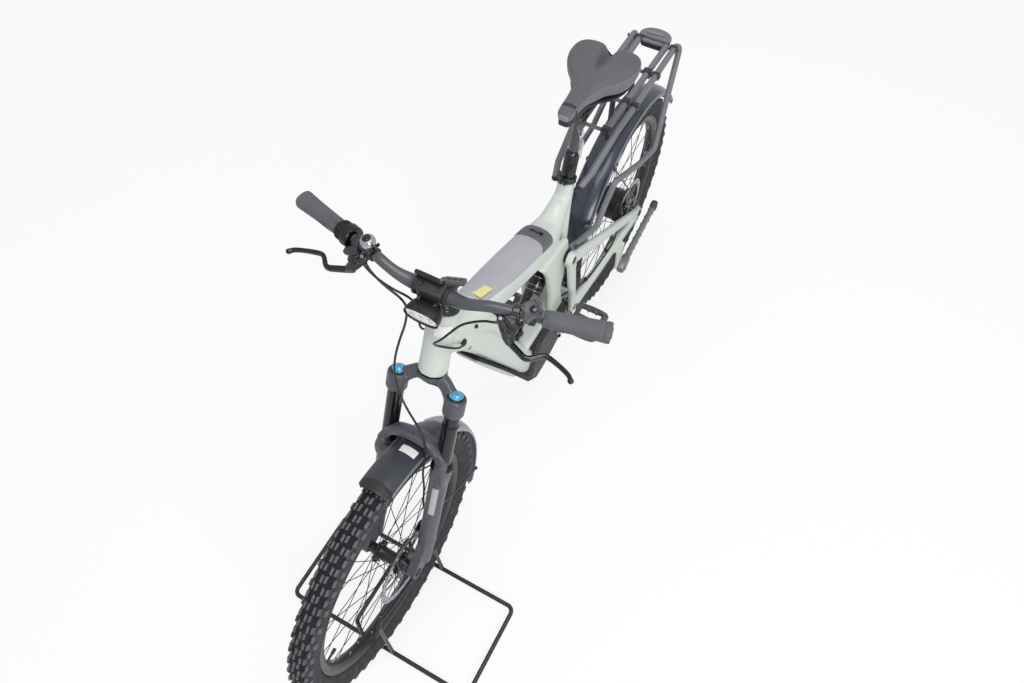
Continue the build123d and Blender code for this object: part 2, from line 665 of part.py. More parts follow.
# ergonomic grips, wider at the outer end, with end caps
with BuildPart() as grips:
    for side in SIDES:
        inner = bar_at(side * 226)
        out_dir = (bar_at(side * 340) - inner).normalized()
        sections = []
        for reach, width, height in ((0, 34, 32), (70, 36, 32), (112, 44, 30), (116, 44, 30)):
            plane = Plane(origin=inner + out_dir * reach, x_dir=(1, 0, 0), z_dir=out_dir)
            with BuildSketch(plane) as oval:
                Ellipse(width / 2, height / 2)
            sections.append(oval.sketch)
        loft(sections, ruled=True)
        clear_bar(side)
grips.part.label = "grips"
export_step(grips.part, "parts/grips.step")

# twist shifter inboard of the right grip
with BuildPart() as twist_shifter:
    bar_ring(-224, -206, 22)
    bar_ring(-206, -184, 25)
    clear_bar(-1)
twist_shifter.part.label = "twist_shifter"
export_step(twist_shifter.part, "parts/twist_shifter.step")

# brake levers: clamp, master cylinder and two-finger blade
with BuildPart() as brake_levers:
    for side in SIDES:
        near = side * 146
        hub = bar_at(near)
        bar_ring(near, near + side * 14, 17)
        bar(hub + Vector(14, side * 2, -9), hub + Vector(36, side * 30, -40), 11)
        bent_rod([hub + Vector(*place) for place in (
            (34, side * 28, -42), (50, side * 72, -45), (28, side * 99, -45), (30, side * 119, -45),
            (42, side * 154, -45), (53, side * 164, -45))], 7, 4.5)
        clear_bar(side)
brake_levers.part.label = "brake_levers"
export_step(brake_levers.part, "parts/brake_levers.step")

# drive remote: three-winged control on the left, with its small thumb lever
with BuildPart() as remote_control:
    bar_ring(193, 207, 19)
    clear_bar(1)
    wing = Plane(origin=bar_at(200) + Vector(0, 0, 20), x_dir=(0, 1, 0), z_dir=(0.35, 0, 1))
    with BuildSketch(wing) as wings:
        with BuildLine():
            Polyline((-29, 7), (-5, 14), (4, 34), (16, 30), (14, 9), (28, -7), (24, -18), (4, -12),
                     (-21, -12), (-29, 7))
        make_face()
    extrude(wings.sketch, amount=7)
    bar(bar_at(200) + Vector(0, 0, 12), bar_at(200) + Vector(0, 0, 22), 9)
remote_control.part.label = "remote_control"
export_step(remote_control.part, "parts/remote_control.step")

# bell on the right, beside the brake clamp
with BuildPart() as bell:
    bar_ring(-125, -135, 16)
    clear_bar(-1)
    bar(bar_at(-130) + Vector(1, 0, 13), bar_at(-130) + Vector(4, -6, 30), 11)
    bar(bar_at(-130) + Vector(4, -6, 29), bar_at(-130) + Vector(6, -8, 46), 13)
bell.part.label = "bell"
export_step(bell.part, "parts/bell.step")

# display over the stem: a mount block, a screen tilted to the rider and a side panel
with BuildPart() as display:
    with BuildSketch(Plane(origin=CLAMP + Vector(4, 0, 4), x_dir=(0, 1, 0), z_dir=(0.1, 0, 1))) as mount:
        RectangleRounded(62, 36, 8)
    extrude(mount.sketch, amount=18)
    with BuildSketch(Plane(origin=CLAMP + Vector(-7, -8, 18), x_dir=(0, 1, 0), z_dir=(-0.84, 0, 0.54))) as screen:
        RectangleRounded(62, 38, 6)
    extrude(screen.sketch, amount=9)
    with BuildSketch(Plane(origin=CLAMP + Vector(-26, 32, 10), x_dir=(-0.4, 1, 0), z_dir=(-0.8, -0.3, 1))) as panel:
        RectangleRounded(44, 40, 6)
    extrude(panel.sketch, amount=9)
    for side in SIDES:
        bar(CLAMP + Vector(0, side * 30, 0), CLAMP + Vector(0, side * 37, 0), 21)
    add(handlebar.part, mode=Mode.SUBTRACT)
    add(stem.part, mode=Mode.SUBTRACT)
display.part.label = "display"
export_step(display.part, "parts/display.step")

# oval headlight on a bracket ahead of the stem
LAMP = Vector(CLAMP.X + 19, 0, CLAMP.Z - 27)
LAMP_AIM = Vector(cos(radians(4)), 0, -sin(radians(4)))
with BuildPart() as headlight:
    shell = []
    for reach, width, height in ((-12, 48, 26), (6, 70, 40), (31, 76, 44)):
        with BuildSketch(Plane(origin=LAMP + LAMP_AIM * reach, x_dir=(0, 1, 0), z_dir=LAMP_AIM)) as oval:
            Ellipse(width / 2, height / 2)
        shell.append(oval.sketch)
    loft(shell, ruled=True)
    bar(LAMP + Vector(-8, -10, 8), CLAMP + Vector(8, -10, -22), 5)
    bar(LAMP + Vector(-8, 10, 8), CLAMP + Vector(8, 10, -22), 5)
    add(stem.part, mode=Mode.SUBTRACT)
    add(handlebar.part, mode=Mode.SUBTRACT)
headlight.part.label = "headlight"
export_step(headlight.part, "parts/headlight.step")

# front mudguard, in two lengths ahead of and behind the arch, with its stay
with BuildPart() as front_mudguard:
    guard_blade(FRONT_X, GUARD_RADIUS, 38, 94, 209)
    for side in SIDES:
        tip = Vector(FRONT_X + 358 * cos(radians(198)), side * 39, TYRE_RADIUS + 358 * sin(radians(198)))
        bar(steer(150, LEG_N - 18, side * 60), tip, 2)
    add(fork_lowers.part, mode=Mode.SUBTRACT)
front_mudguard.part.label = "front_mudguard"
export_step(front_mudguard.part, "parts/front_mudguard.step")

with BuildPart() as front_caliper:
    caliper(FRONT_X, 155, 56)
    add(fork_lowers.part, mode=Mode.SUBTRACT)
front_caliper.part.label = "front_caliper"
export_step(front_caliper.part, "parts/front_caliper.step")

# floor stand: a wire ring on the floor and two hoops beside the front tyre
with BuildPart() as floor_stand:
    ring = [(STAND_REAR_X, 0), (STAND_REAR_X, STAND_HALF_WIDTH), (STAND_FRONT_X, STAND_HALF_WIDTH),
            (STAND_FRONT_X, -STAND_HALF_WIDTH), (STAND_REAR_X, -STAND_HALF_WIDTH), (STAND_REAR_X, -1)]
    bent_rod([(x, y, WIRE_R) for x, y in ring], 18, WIRE_R)
    bar((STAND_REAR_X, -2, WIRE_R), (STAND_REAR_X, 1, WIRE_R), WIRE_R)
    for side, front_z, rear_z in ((1, 270, 190), (-1, 155, 155)):
        foot_y = side * HOOP_FOOT_Y
        top_y = side * HOOP_TOP_Y
        bent_rod([(STAND_REAR_X, foot_y, WIRE_R), (STAND_REAR_X + 6, top_y, rear_z),
                  (STAND_FRONT_X - 6, top_y, front_z), (STAND_FRONT_X, foot_y, WIRE_R)], 18, WIRE_R - 0.5)
floor_stand.part.label = "floor_stand"
export_step(floor_stand.part, "parts/floor_stand.step")

# ---------------------------------------------------------------------------
# Hoses and cables, each held by the pieces at its ends and by clips
# ---------------------------------------------------------------------------
HOSE_R = 2.5

# right lever, under the headlight, down ahead of the crown, over the arch, caliper
with BuildPart() as front_brake_hose:
    cord_solid([
        (347, -151, 1083), (353, -136, 1068), (362, -110, 1062), (368, -82, 1056), (366, -58, 1040),
        (364, -49, 1014), (382, -44, 987), (408, -46, 960), (427, -50, 922), (437, -53, 880),
        (441, -52, 838), (448, -42, 800), (459, -22, 776), (471, 4, 760), (480, 26, 740),
        steer(393, 50, 38), steer(360, 51, 43), steer(326, 50, 43), steer(290, 36, 39),
        steer(248, 22, 41), steer(204, 16, 42), steer(164, 4, 41), steer(132, -12, 43), steer(106, -25, 47),
    ], HOSE_R)
    add(brake_levers.part, mode=Mode.SUBTRACT)
    add(front_caliper.part, mode=Mode.SUBTRACT)
front_brake_hose.part.label = "front_brake_hose"
export_step(front_brake_hose.part, "parts/front_brake_hose.step")

# rear brake hose on the left and shifter cable on the right, into the head tube's sides
with BuildPart() as steering_cables:
    cord_solid([
        (347, 151, 1083), (346, 136, 1066), (340, 115, 1050), (348, 93, 1042), (363, 73, 1038),
        (381, 59, 1024), (390, 39, 994), (389, 18, 966), (376, 20, 942), (357, 38, 920),
        (336, 46, 897), (315, 38, 877), (303, 24, 866),
    ], HOSE_R)
    cord_solid([
        (326, -188, 1078), (334, -174, 1066), (345, -154, 1059), (354, -128, 1056), (361, -98, 1055),
        (362, -72, 1051), (354, -52, 1036), (344, -45, 1008), (341, -43, 974), (346, -43, 938),
        (337, -46, 902), (315, -38, 877), (303, -24, 866),
    ], HOSE_R)
    for piece in (brake_levers, twist_shifter, main_frame):
        add(piece.part, mode=Mode.SUBTRACT)
steering_cables.part.label = "steering_cables"
export_step(steering_cables.part, "parts/steering_cables.step")

# out of the motor cradle, along the top of the left lower stay, up to the caliper
with BuildPart() as rear_brake_hose:
    cord_solid([
        (-158, 42, 470), (-186, 49, 459), (-216, 52, 442), (-250, 59, 422), (-294, 69, 408),
        (-352, 72, 400), (-416, 74, 394), (-474, 75, 391), (-514, 70, 396), (-540, 60, 411), (-552, 50, 428),
    ], HOSE_R)
    for piece in (main_frame, swingarm, rear_caliper):
        add(piece.part, mode=Mode.SUBTRACT)
rear_brake_hose.part.label = "rear_brake_hose"
export_step(rear_brake_hose.part, "parts/rear_brake_hose.step")

# ---------------------------------------------------------------------------
# Wheels
# ---------------------------------------------------------------------------


def tyre_section():
    """Hollow tyre casing standing on the rim's bead seat, drawn in its half-section plane."""
    middle = TYRE_RADIUS - TYRE_WIDTH / 2
    with Locations((0, middle)):
        Ellipse(TYRE_WIDTH / 2, TYRE_WIDTH / 2)
        Ellipse(TYRE_WIDTH / 2 - TYRE_WALL, TYRE_WIDTH / 2 - TYRE_WALL - 3, mode=Mode.SUBTRACT)
    with Locations((0, BEAD_RADIUS - 20)):
        Rectangle(TYRE_WIDTH, 40, mode=Mode.SUBTRACT)
    with Locations((0, BEAD_RADIUS)):
        Rectangle(18, 20, mode=Mode.SUBTRACT)


def wheel_body(hub_x, shell_r, shell_half, flange_r, flange_y, bore_r):
    """Rim, crossed spokes and hub shell of one wheel, added to the open part."""
    with BuildSketch(hub_plane(hub_x)) as rim:
        with Locations((0, BEAD_RADIUS - RIM_DEPTH / 2)):
            Trapezoid(RIM_WIDTH, RIM_DEPTH, 76, 76, rotation=180)
    revolve(rim.sketch, axis=hub_axis(hub_x))
    bar((hub_x, -shell_half, TYRE_RADIUS), (hub_x, shell_half, TYRE_RADIUS), shell_r)
    for side in SIDES:
        bar((hub_x, side * flange_y - 2, TYRE_RADIUS), (hub_x, side * flange_y + 2, TYRE_RADIUS), flange_r + 4)
    for k in range(SPOKE_COUNT):
        side = 1 if k % 2 else -1
        lead = 1 if k % 4 < 2 else -1
        at_rim = radians(360 / SPOKE_COUNT * k)
        at_hub = at_rim + lead * radians(70)
        rim_r = BEAD_RADIUS - RIM_DEPTH + 2
        foot = (hub_x + flange_r * cos(at_hub), side * flange_y, TYRE_RADIUS + flange_r * sin(at_hub))
        head = (hub_x + rim_r * cos(at_rim), side * 3, TYRE_RADIUS + rim_r * sin(at_rim))
        bar(foot, head, SPOKE_RADIUS)
    bar((hub_x, -100, TYRE_RADIUS), (hub_x, 100, TYRE_RADIUS), bore_r + RUN, Mode.SUBTRACT)


def rotor(hub_x, shell_half, bore_r):
    """Two-piece brake disc: braking ring, arms and carrier."""
    bar((hub_x, ROTOR_Y - 1, TYRE_RADIUS), (hub_x, ROTOR_Y + 1, TYRE_RADIUS), ROTOR_RADIUS)
    bar((hub_x, ROTOR_Y - 2, TYRE_RADIUS), (hub_x, ROTOR_Y + 2, TYRE_RADIUS), ROTOR_RADIUS - 17, Mode.SUBTRACT)
    bar((hub_x, ROTOR_Y - 1.5, TYRE_RADIUS), (hub_x, ROTOR_Y + 1.5, TYRE_RADIUS), 36)
    for k in range(6):
        angle = radians(60 * k)
        inner = Vector(hub_x + 30 * cos(angle), ROTOR_Y, TYRE_RADIUS + 30 * sin(angle))
        outer = Vector(hub_x + 88 * cos(angle + 0.35), ROTOR_Y, TYRE_RADIUS + 88 * sin(angle + 0.35))
        with BuildSketch(Plane(origin=inner, x_dir=(0, 1, 0), z_dir=outer - inner)) as arm:
            Rectangle(2, 9)
        extrude(arm.sketch, amount=(outer - inner).length)
    bar((hub_x, ROTOR_Y + 3, TYRE_RADIUS), (hub_x, ROTOR_Y - 3, TYRE_RADIUS), bore_r + 12, Mode.SUBTRACT)


with BuildPart() as front_tyre:
    with BuildSketch(hub_plane(FRONT_X)):
        tyre_section()
    revolve(axis=hub_axis(FRONT_X))
front_tyre.part.label = "front_tyre"
export_step(front_tyre.part, "parts/front_tyre.step")

with BuildPart() as front_wheel_frame:
    wheel_body(FRONT_X, 17, 40, 26, 30, FRONT_AXLE_R)
    bar((FRONT_X, 40, TYRE_RADIUS), (FRONT_X, 55, TYRE_RADIUS), FRONT_AXLE_R + 12)
    bar((FRONT_X, -40, TYRE_RADIUS), (FRONT_X, -55, TYRE_RADIUS), 14)
    bar((FRONT_X, -100, TYRE_RADIUS), (FRONT_X, 100, TYRE_RADIUS), FRONT_AXLE_R + RUN, Mode.SUBTRACT)
front_wheel_frame.part.label = "front_wheel_frame"
export_step(front_wheel_frame.part, "parts/front_wheel_frame.step")

with BuildPart() as front_rotor:
    rotor(FRONT_X, 40, FRONT_AXLE_R)
front_rotor.part.label = "front_rotor"
export_step(front_rotor.part, "parts/front_rotor.step")

with BuildPart() as rear_tyre:
    with BuildSketch(hub_plane(REAR_X)):
        tyre_section()
    revolve(axis=hub_axis(REAR_X))
rear_tyre.part.label = "rear_tyre"
export_step(rear_tyre.part, "parts/rear_tyre.step")

with BuildPart() as rear_wheel_frame:
    wheel_body(REAR_X, 52, 32, 58, 30, REAR_AXLE_R)
    bar((REAR_X, 32, TYRE_RADIUS), (REAR_X, 72, TYRE_RADIUS), REAR_AXLE_R + 12)
    bar((REAR_X, -32, TYRE_RADIUS), (REAR_X, -72, TYRE_RADIUS), 16)
    bar((REAR_X, BELT_Y - 5, TYRE_RADIUS), (REAR_X, BELT_Y + 5, TYRE_RADIUS), SPROCKET_R)
    bar((REAR_X, -100, TYRE_RADIUS), (REAR_X, 100, TYRE_RADIUS), REAR_AXLE_R + RUN, Mode.SUBTRACT)
rear_wheel_frame.part.label = "rear_wheel_frame"
export_step(rear_wheel_frame.part, "parts/rear_wheel_frame.step")

with BuildPart() as rear_rotor:
    rotor(REAR_X, 32, REAR_AXLE_R)
rear_rotor.part.label = "rear_rotor"
export_step(rear_rotor.part, "parts/rear_rotor.step")

# ---------------------------------------------------------------------------
# Crank drive and kickstand
# ---------------------------------------------------------------------------


def pedal_centre(side):
    """Middle of a pedal, at the end of its crank arm."""
    angle = radians(CRANK_LEAN)
    return Vector(BB_X + side * CRANK_LENGTH * cos(angle), side * PEDAL_Y,
                  BB_Z + side * CRANK_LENGTH * sin(angle))


with BuildPart() as crankset:
    for side in SIDES:
        centre = pedal_centre(side)
        root = Vector(BB_X, side * CRANK_Y, BB_Z)
        end = Vector(centre.X, side * (CRANK_Y + 6), centre.Z)
        bar(root - Vector(0, 8, 0), root + Vector(0, 8, 0), 19)
        bar(end - Vector(0, 7, 0), end + Vector(0, 7, 0), 14)
        run = end - root
        arm_plane = Plane(origin=root, x_dir=Vector(0, 1, 0) - run * (run.Y / run.length**2), z_dir=run)
        with BuildSketch(arm_plane) as arm:
            RectangleRounded(14, 27, 5)
        extrude(arm.sketch, amount=run.length)
        bar(end, Vector(centre.X, side * (PEDAL_Y + 42), centre.Z), SPINDLE_R)
    bar((BB_X, BELT_Y - 4, BB_Z), (BB_X, BELT_Y + 4, BB_Z), RING_R)
    bar((BB_X, -CRANK_Y, BB_Z), (BB_X, BELT_Y, BB_Z), 22)
    bar((BB_X, BELT_Y + 6, BB_Z), (BB_X, BELT_Y + 1, BB_Z), RING_R - 14, Mode.SUBTRACT)
    bar((BB_X, -CRANK_Y - 8, BB_Z), (BB_X, CRANK_Y + 8, BB_Z), 12)
crankset.part.label = "crankset"
export_step(crankset.part, "parts/crankset.step")


# toothed belt from the chainring to the rear sprocket
BELT_GAP = 0.4
BELT_THICK = 3
with BuildPart() as drive_belt:
    with BuildSketch(side_plane(BELT_Y + BELT_WIDTH / 2)):
        for grow, mode in ((BELT_GAP + BELT_THICK, Mode.ADD), (BELT_GAP, Mode.SUBTRACT)):
            with BuildSketch(mode=Mode.PRIVATE) as loop:
                with Locations((BB_X, BB_Z)):
                    Circle(RING_R + grow)
                with Locations((REAR_X, TYRE_RADIUS)):
                    Circle(SPROCKET_R + grow)
                make_hull()
            add(loop.sketch, mode=mode)
    extrude(amount=BELT_WIDTH)
drive_belt.part.label = "drive_belt"
export_step(drive_belt.part, "parts/drive_belt.step")

for side, name in ((1, "left_pedal"), (-1, "right_pedal")):
    centre = pedal_centre(side)
    with BuildPart() as pedal:
        with BuildSketch(Plane.XY.offset(centre.Z - 11)):
            with Locations((centre.X, centre.Y)):
                RectangleRounded(92, 84, 12)
                with Locations((0, 0)):
                    with GridLocations(54, 0, 2, 1):
                        RectangleRounded(20, 58, 6, mode=Mode.SUBTRACT)
        extrude(amount=22)
        bar((centre.X, side * 100, centre.Z), (centre.X, side * 200, centre.Z), SPINDLE_R + RUN, Mode.SUBTRACT)
    pedal.part.label = name
    export_step(pedal.part, f"parts/{name}.step")

# kickstand, folded back along the left lower stay
with BuildPart() as kickstand:
    pivot = Vector(KICK_PIVOT[0], 109, KICK_PIVOT[1])
    fold = Vector(-cos(radians(12)), 0, sin(radians(12)))
    foot = pivot + fold * KICK_LENGTH
    bar(pivot - Vector(0, 8, 0), pivot + Vector(0, 8, 0), 16)
    run = foot - pivot
    with BuildSketch(Plane(origin=pivot, x_dir=(0, 1, 0), z_dir=run)) as leg:
        RectangleRounded(16, 22, 6)
    extrude(leg.sketch, amount=run.length)
    with BuildSketch(Plane(origin=foot - fold * 24, x_dir=(0, 1, 0), z_dir=run)) as shoe:
        RectangleRounded(22, 28, 8)
    extrude(shoe.sketch, amount=30)
    bar(pivot - Vector(0, 30, 0), pivot + Vector(0, 30, 0), 5 + RUN, Mode.SUBTRACT)
kickstand.part.label = "kickstand"
export_step(kickstand.part, "parts/kickstand.step")
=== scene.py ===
"""Full-suspension electric bicycle in a wire floor stand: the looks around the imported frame."""
from math import cos, hypot, pi, radians, sin, sqrt

import bmesh
import bpy
from mathutils import Matrix, Vector

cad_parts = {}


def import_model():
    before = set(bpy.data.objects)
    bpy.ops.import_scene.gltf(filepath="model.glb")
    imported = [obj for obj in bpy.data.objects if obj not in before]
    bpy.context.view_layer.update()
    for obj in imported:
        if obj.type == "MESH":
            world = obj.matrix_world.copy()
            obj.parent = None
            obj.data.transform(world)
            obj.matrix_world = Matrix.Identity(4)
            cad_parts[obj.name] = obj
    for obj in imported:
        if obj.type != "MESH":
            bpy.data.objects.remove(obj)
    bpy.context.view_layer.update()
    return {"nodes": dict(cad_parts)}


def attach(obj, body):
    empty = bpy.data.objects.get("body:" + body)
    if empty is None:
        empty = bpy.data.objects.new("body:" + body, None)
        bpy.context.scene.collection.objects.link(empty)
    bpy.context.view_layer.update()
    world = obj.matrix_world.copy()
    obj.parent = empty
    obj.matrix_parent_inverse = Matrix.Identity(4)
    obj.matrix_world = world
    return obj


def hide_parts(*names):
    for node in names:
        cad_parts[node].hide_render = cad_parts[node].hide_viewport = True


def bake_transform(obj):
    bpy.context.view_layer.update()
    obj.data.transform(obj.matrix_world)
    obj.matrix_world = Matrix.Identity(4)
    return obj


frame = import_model()


def vec(x, y, z):
    return Vector((x, y, z))


# ---- Driving dimensions, in metres: the same as the construction's ----
WHEELBASE = 1.321
TYRE_RADIUS = 0.357
BEAD_RADIUS = 0.296
RIM_DEPTH = 0.026
ROTOR_Y = 0.044
REAR_X = -WHEELBASE / 2
FRONT_X = WHEELBASE / 2
HEAD_ANGLE = radians(65)
FORK_RAKE = 0.052
LEG_N = 0.016
LEG_Y = 0.071
SEAL_S = 0.33
CROWN_S = 0.528
HEAD_BOTTOM_S = 0.556
HEAD_TOP_S = 0.712
HEAD_R = 0.0325
STEM_S = 0.782
STEM_N = 0.061
BAR_KNEE_Y = 0.11
BAR_END_Y = 0.34
BAR_R = 0.0111
BAR_CLAMP_R = 0.0159
BAR_RISE = 0.028
BAR_SWEEP = 0.06
SEAT_ANGLE = radians(73)
SEAT_CLAMP = vec(-0.256, 0, 0.825)
BB = vec(-0.165, 0, 0.36)
CRANK_LENGTH = 0.17
CRANK_LEAN = radians(65)
CRANK_Y = 0.09
PEDAL_Y = 0.158
BELT_Y = -0.049
SPROCKET_R = 0.038
LOWER_PIVOT = vec(-0.212, 0, 0.385)
UPPER_PIVOT = vec(-0.172, 0, 0.642)
ARM_Y = 0.066
DROPOUT_Y = 0.08
SHOCK_LINK = vec(-0.206, 0, 0.572)
SHOCK_REAR = vec(-0.135, 0, 0.605)
SHOCK_FRONT = vec(0.012, 0, 0.495)
KICK_PIVOT = vec(-0.5, 0.109, 0.27)
RACK_Z = 0.885
SIDES = (1, -1)  # the rider's left, then right

X = vec(1, 0, 0)
Y = vec(0, 1, 0)
Z = vec(0, 0, 1)
STEER_UP = vec(-cos(HEAD_ANGLE), 0, sin(HEAD_ANGLE))
STEER_FWD = vec(sin(HEAD_ANGLE), 0, cos(HEAD_ANGLE))
STEER_FOOT = vec(FRONT_X, 0, TYRE_RADIUS) - STEER_FWD * FORK_RAKE
SEAT_UP = vec(-cos(SEAT_ANGLE), 0, sin(SEAT_ANGLE))
SEAT_FWD = vec(sin(SEAT_ANGLE), 0, cos(SEAT_ANGLE))


def steer(s, n=0.0, y=0.0):
    """A point of the fork or head: s up the steering axis from the axle's level, n ahead of it."""
    return STEER_FOOT + STEER_UP * s + STEER_FWD * n + Y * y


def seat(s, n=0.0, y=0.0):
    """A point of the seat tube: s above the seat clamp, n ahead of its axis."""
    return SEAT_CLAMP + SEAT_UP * s + SEAT_FWD * n + Y * y


CLAMP = steer(STEM_S, STEM_N)


def bar_at(y):
    """Centre of the handlebar's straight outer part at y."""
    share = (abs(y) - BAR_KNEE_Y) / (BAR_END_Y - BAR_KNEE_Y)
    return CLAMP + vec(0.002 - BAR_SWEEP * share, y, BAR_RISE - 0.008 * share)


def bar_out(side):
    """Direction of the handlebar's outer part, outwards."""
    return (bar_at(side * BAR_END_Y) - bar_at(side * BAR_KNEE_Y)).normalized()


# ---- Shapes: a solid is (points, faces); several are joined into one piece ----
def unit(v):
    return Vector(v).normalized()


def ring(centre, u, v, half_u, half_v, power=2.0, count=32):
    """Superellipse round a centre: power 2 is an ellipse, 4 a rounded box."""
    points = []
    for k in range(count):
        c, s = cos(2 * pi * k / count), sin(2 * pi * k / count)
        du = half_u * abs(c) ** (2 / power) * (1 if c >= 0 else -1)
        dv = half_v * abs(s) ** (2 / power) * (1 if s >= 0 else -1)
        points.append(Vector(centre) + u * du + v * dv)
    return points


def loft(rings, closed=False):
    """Skin over rings of equal count, in order; closed joins the last to the first."""
    count = len(rings[0])
    points = [p for r in rings for p in r]
    faces = []
    spans = len(rings) if closed else len(rings) - 1
    for i in range(spans):
        a, b = i * count, (i + 1) % len(rings) * count
        for k in range(count):
            j = (k + 1) % count
            faces.append([a + k, a + j, b + j, b + k])
    if not closed:
        faces.append(list(range(count))[::-1])
        last = (len(rings) - 1) * count
        faces.append([last + k for k in range(count)])
    return points, faces


def smooth_path(corners, steps=8):
    """Catmull-Rom curve through given corners."""
    p = [Vector(c) for c in corners]
    p = [p[0] * 2 - p[1], *p, p[-1] * 2 - p[-2]]
    out = []
    for a, b, c, d in zip(p, p[1:], p[2:], p[3:]):
        for k in range(steps):
            t = k / steps
            out.append(0.5 * (2 * b + (c - a) * t + (2 * a - 5 * b + 4 * c - d) * t * t
                + (3 * b - a - 3 * c + d) * t ** 3))
    return [*out, p[-2]]


def tube(path, radius, count=16, flat=1.0, power=2.0, up=None, closed=False):
    """Pipe along a path: radius is a number or one for each point, flat is height over width."""
    path = [Vector(p) for p in path]
    radii = radius if isinstance(radius, (list, tuple)) else [radius] * len(path)
    runs = [(b - a).normalized() for a, b in zip(path, path[1:])]
    side = (up or (Z if abs(runs[0].z) < 0.9 else X)).cross(runs[0]).normalized()
    rings = []
    for i, p in enumerate(path):
        before = runs[max(i - 1, 0)]
        after = runs[min(i, len(runs) - 1)]
        tangent = unit(before + after)
        side = unit(side - tangent * side.dot(tangent))
        rings.append(ring(p, side, tangent.cross(side), radii[i], radii[i] * flat, power, count))
    return loft(rings, closed=closed)


def rod(start, end, radius, count=24):
    return tube([start, end], radius, count)


def crossbar(place, y0, y1, radius):
    """Rod across the bicycle, at a place's x and z."""
    return rod((place.x, y0, place.z), (place.x, y1, place.z), radius)


def turned(centre, axis, profile, count=40):
    """Lathe work: profile lists (distance along the axis, radius)."""
    axis = unit(axis)
    u = axis.orthogonal().normalized()
    v = axis.cross(u)
    return loft([ring(Vector(centre) + axis * a, u, v, r, r, 2, count) for a, r in profile])


def lathe(centre, axis, profile, count=40):
    """Lathe work with its profile in millimetres."""
    return turned(centre, axis, [(a / 1000, r / 1000) for a, r in profile], count)


def skin(u, v, power, count, stations):
    """Skin over superellipses in one plane: stations lists (centre, half u, half v)."""
    return loft([ring(centre, u, v, a, b, power, count) for centre, a, b in stations])


def prism(outline, origin, u, v, depth):
    """Flat outline in directions u and v, given a depth along u x v."""
    origin, u, v = Vector(origin), Vector(u), Vector(v)
    w = unit(u.cross(v)) * depth
    base = [origin + u * a + v * b for a, b in outline]
    return loft([base, [p + w for p in base]])


def block(centre, u, v, w, size):
    """Box of a size, in millimetres, along three directions."""
    a, b, c = (s / 2000 for s in size)
    low = [Vector(centre) + u * i * a + v * j * b - w * c for i, j in ((1, 1), (-1, 1), (-1, -1), (1, -1))]
    return loft([low, [p + w * 2 * c for p in low]])


def arc(centre, u, v, radius, start, end, steps=12):
    """Points on a circular arc, angles in degrees."""
    angles = [radians(start + (end - start) * k / steps) for k in range(steps + 1)]
    return [Vector(centre) + u * radius * cos(a) + v * radius * sin(a) for a in angles]


def heading(angle):
    """Direction in the side view, an angle in degrees up from straight ahead."""
    return vec(cos(radians(angle)), 0, sin(radians(angle)))


def square_to(out, start=X):
    """The direction nearest to start that is square to out."""
    return unit(start - out * start.dot(out))


def round_hub(hub_x, y, radius, angle):
    """Point round a wheel's axle: sideways y, radius and angle in radians, up from straight ahead."""
    return vec(hub_x + radius * cos(angle), y, TYRE_RADIUS + radius * sin(angle))


def mirrored(half):
    """Section from its right-hand half: the same points again on the other side, in the opposite order."""
    return half + [(-y, r) for y, r in half[::-1] if y]


def joined(solids):
    points, faces = [], []
    for p, f in solids:
        base = len(points)
        points += p
        faces += [[i + base for i in face] for face in f]
    return points, faces


def applied(piece):
    """Turn the modifiers on a piece into its mesh."""
    bpy.context.view_layer.update()
    evaluated = piece.evaluated_get(bpy.context.evaluated_depsgraph_get())
    mesh = bpy.data.meshes.new_from_object(evaluated)
    piece.modifiers.clear()
    piece.data = mesh


def put(name, data):
    """Object of some data, placed in the scene."""
    made = bpy.data.objects.new(name, data)
    bpy.context.scene.collection.objects.link(made)
    return made


def piece(name, solids, look, body, replaces=(), voxel=0.0, relax=0, bevel=0.0, segments=2, subdivide=0,
        sharp=35):
    """Build one piece from solids, give it its look and let it ride on a body, if any.

    voxel melts the solids into one cast skin, and relax rounds its edges; bevel breaks hard edges."""
    points, faces = joined(solids if isinstance(solids, list) else [solids])
    mesh = bpy.data.meshes.new(name)
    mesh.from_pydata(points, [], faces)
    b = bmesh.new()
    b.from_mesh(mesh)
    bmesh.ops.recalc_face_normals(b, faces=b.faces)
    b.to_mesh(mesh)
    b.free()
    made = put(name, mesh)
    if voxel:
        remesh = made.modifiers.new("cast", "REMESH")
        remesh.mode = "VOXEL"
        remesh.voxel_size = voxel
        remesh.adaptivity = 0
    if relax:
        smooth = made.modifiers.new("relax", "SMOOTH")
        smooth.factor = 0.5
        smooth.iterations = relax
    if bevel:
        edge = made.modifiers.new("edge", "BEVEL")
        edge.width = bevel
        edge.segments = segments
        edge.limit_method = "ANGLE"
        edge.angle_limit = radians(30)
    if subdivide:
        made.modifiers.new("round", "SUBSURF").levels = subdivide
        made.modifiers["round"].render_levels = subdivide
    if voxel or relax or bevel or subdivide:
        applied(made)
    made.data.shade_smooth()
    made.data.set_sharp_from_angle(angle=radians(180 if voxel else sharp))
    dress(made, look)
    if body:
        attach(made, body)
    if replaces:
        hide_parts(*([replaces] if isinstance(replaces, str) else replaces))
    return made


# ---- Finishes ----
def linear(colour):
    """An sRGB colour, 0 to 255, as linear light."""
    out = []
    for c in colour:
        c /= 255
        out.append(c / 12.92 if c <= 0.04045 else ((c + 0.055) / 1.055) ** 2.4)
    return (*out, 1)


def shaded(colour, factor):
    return (*[min(c * factor, 1) for c in colour[:3]], 1)


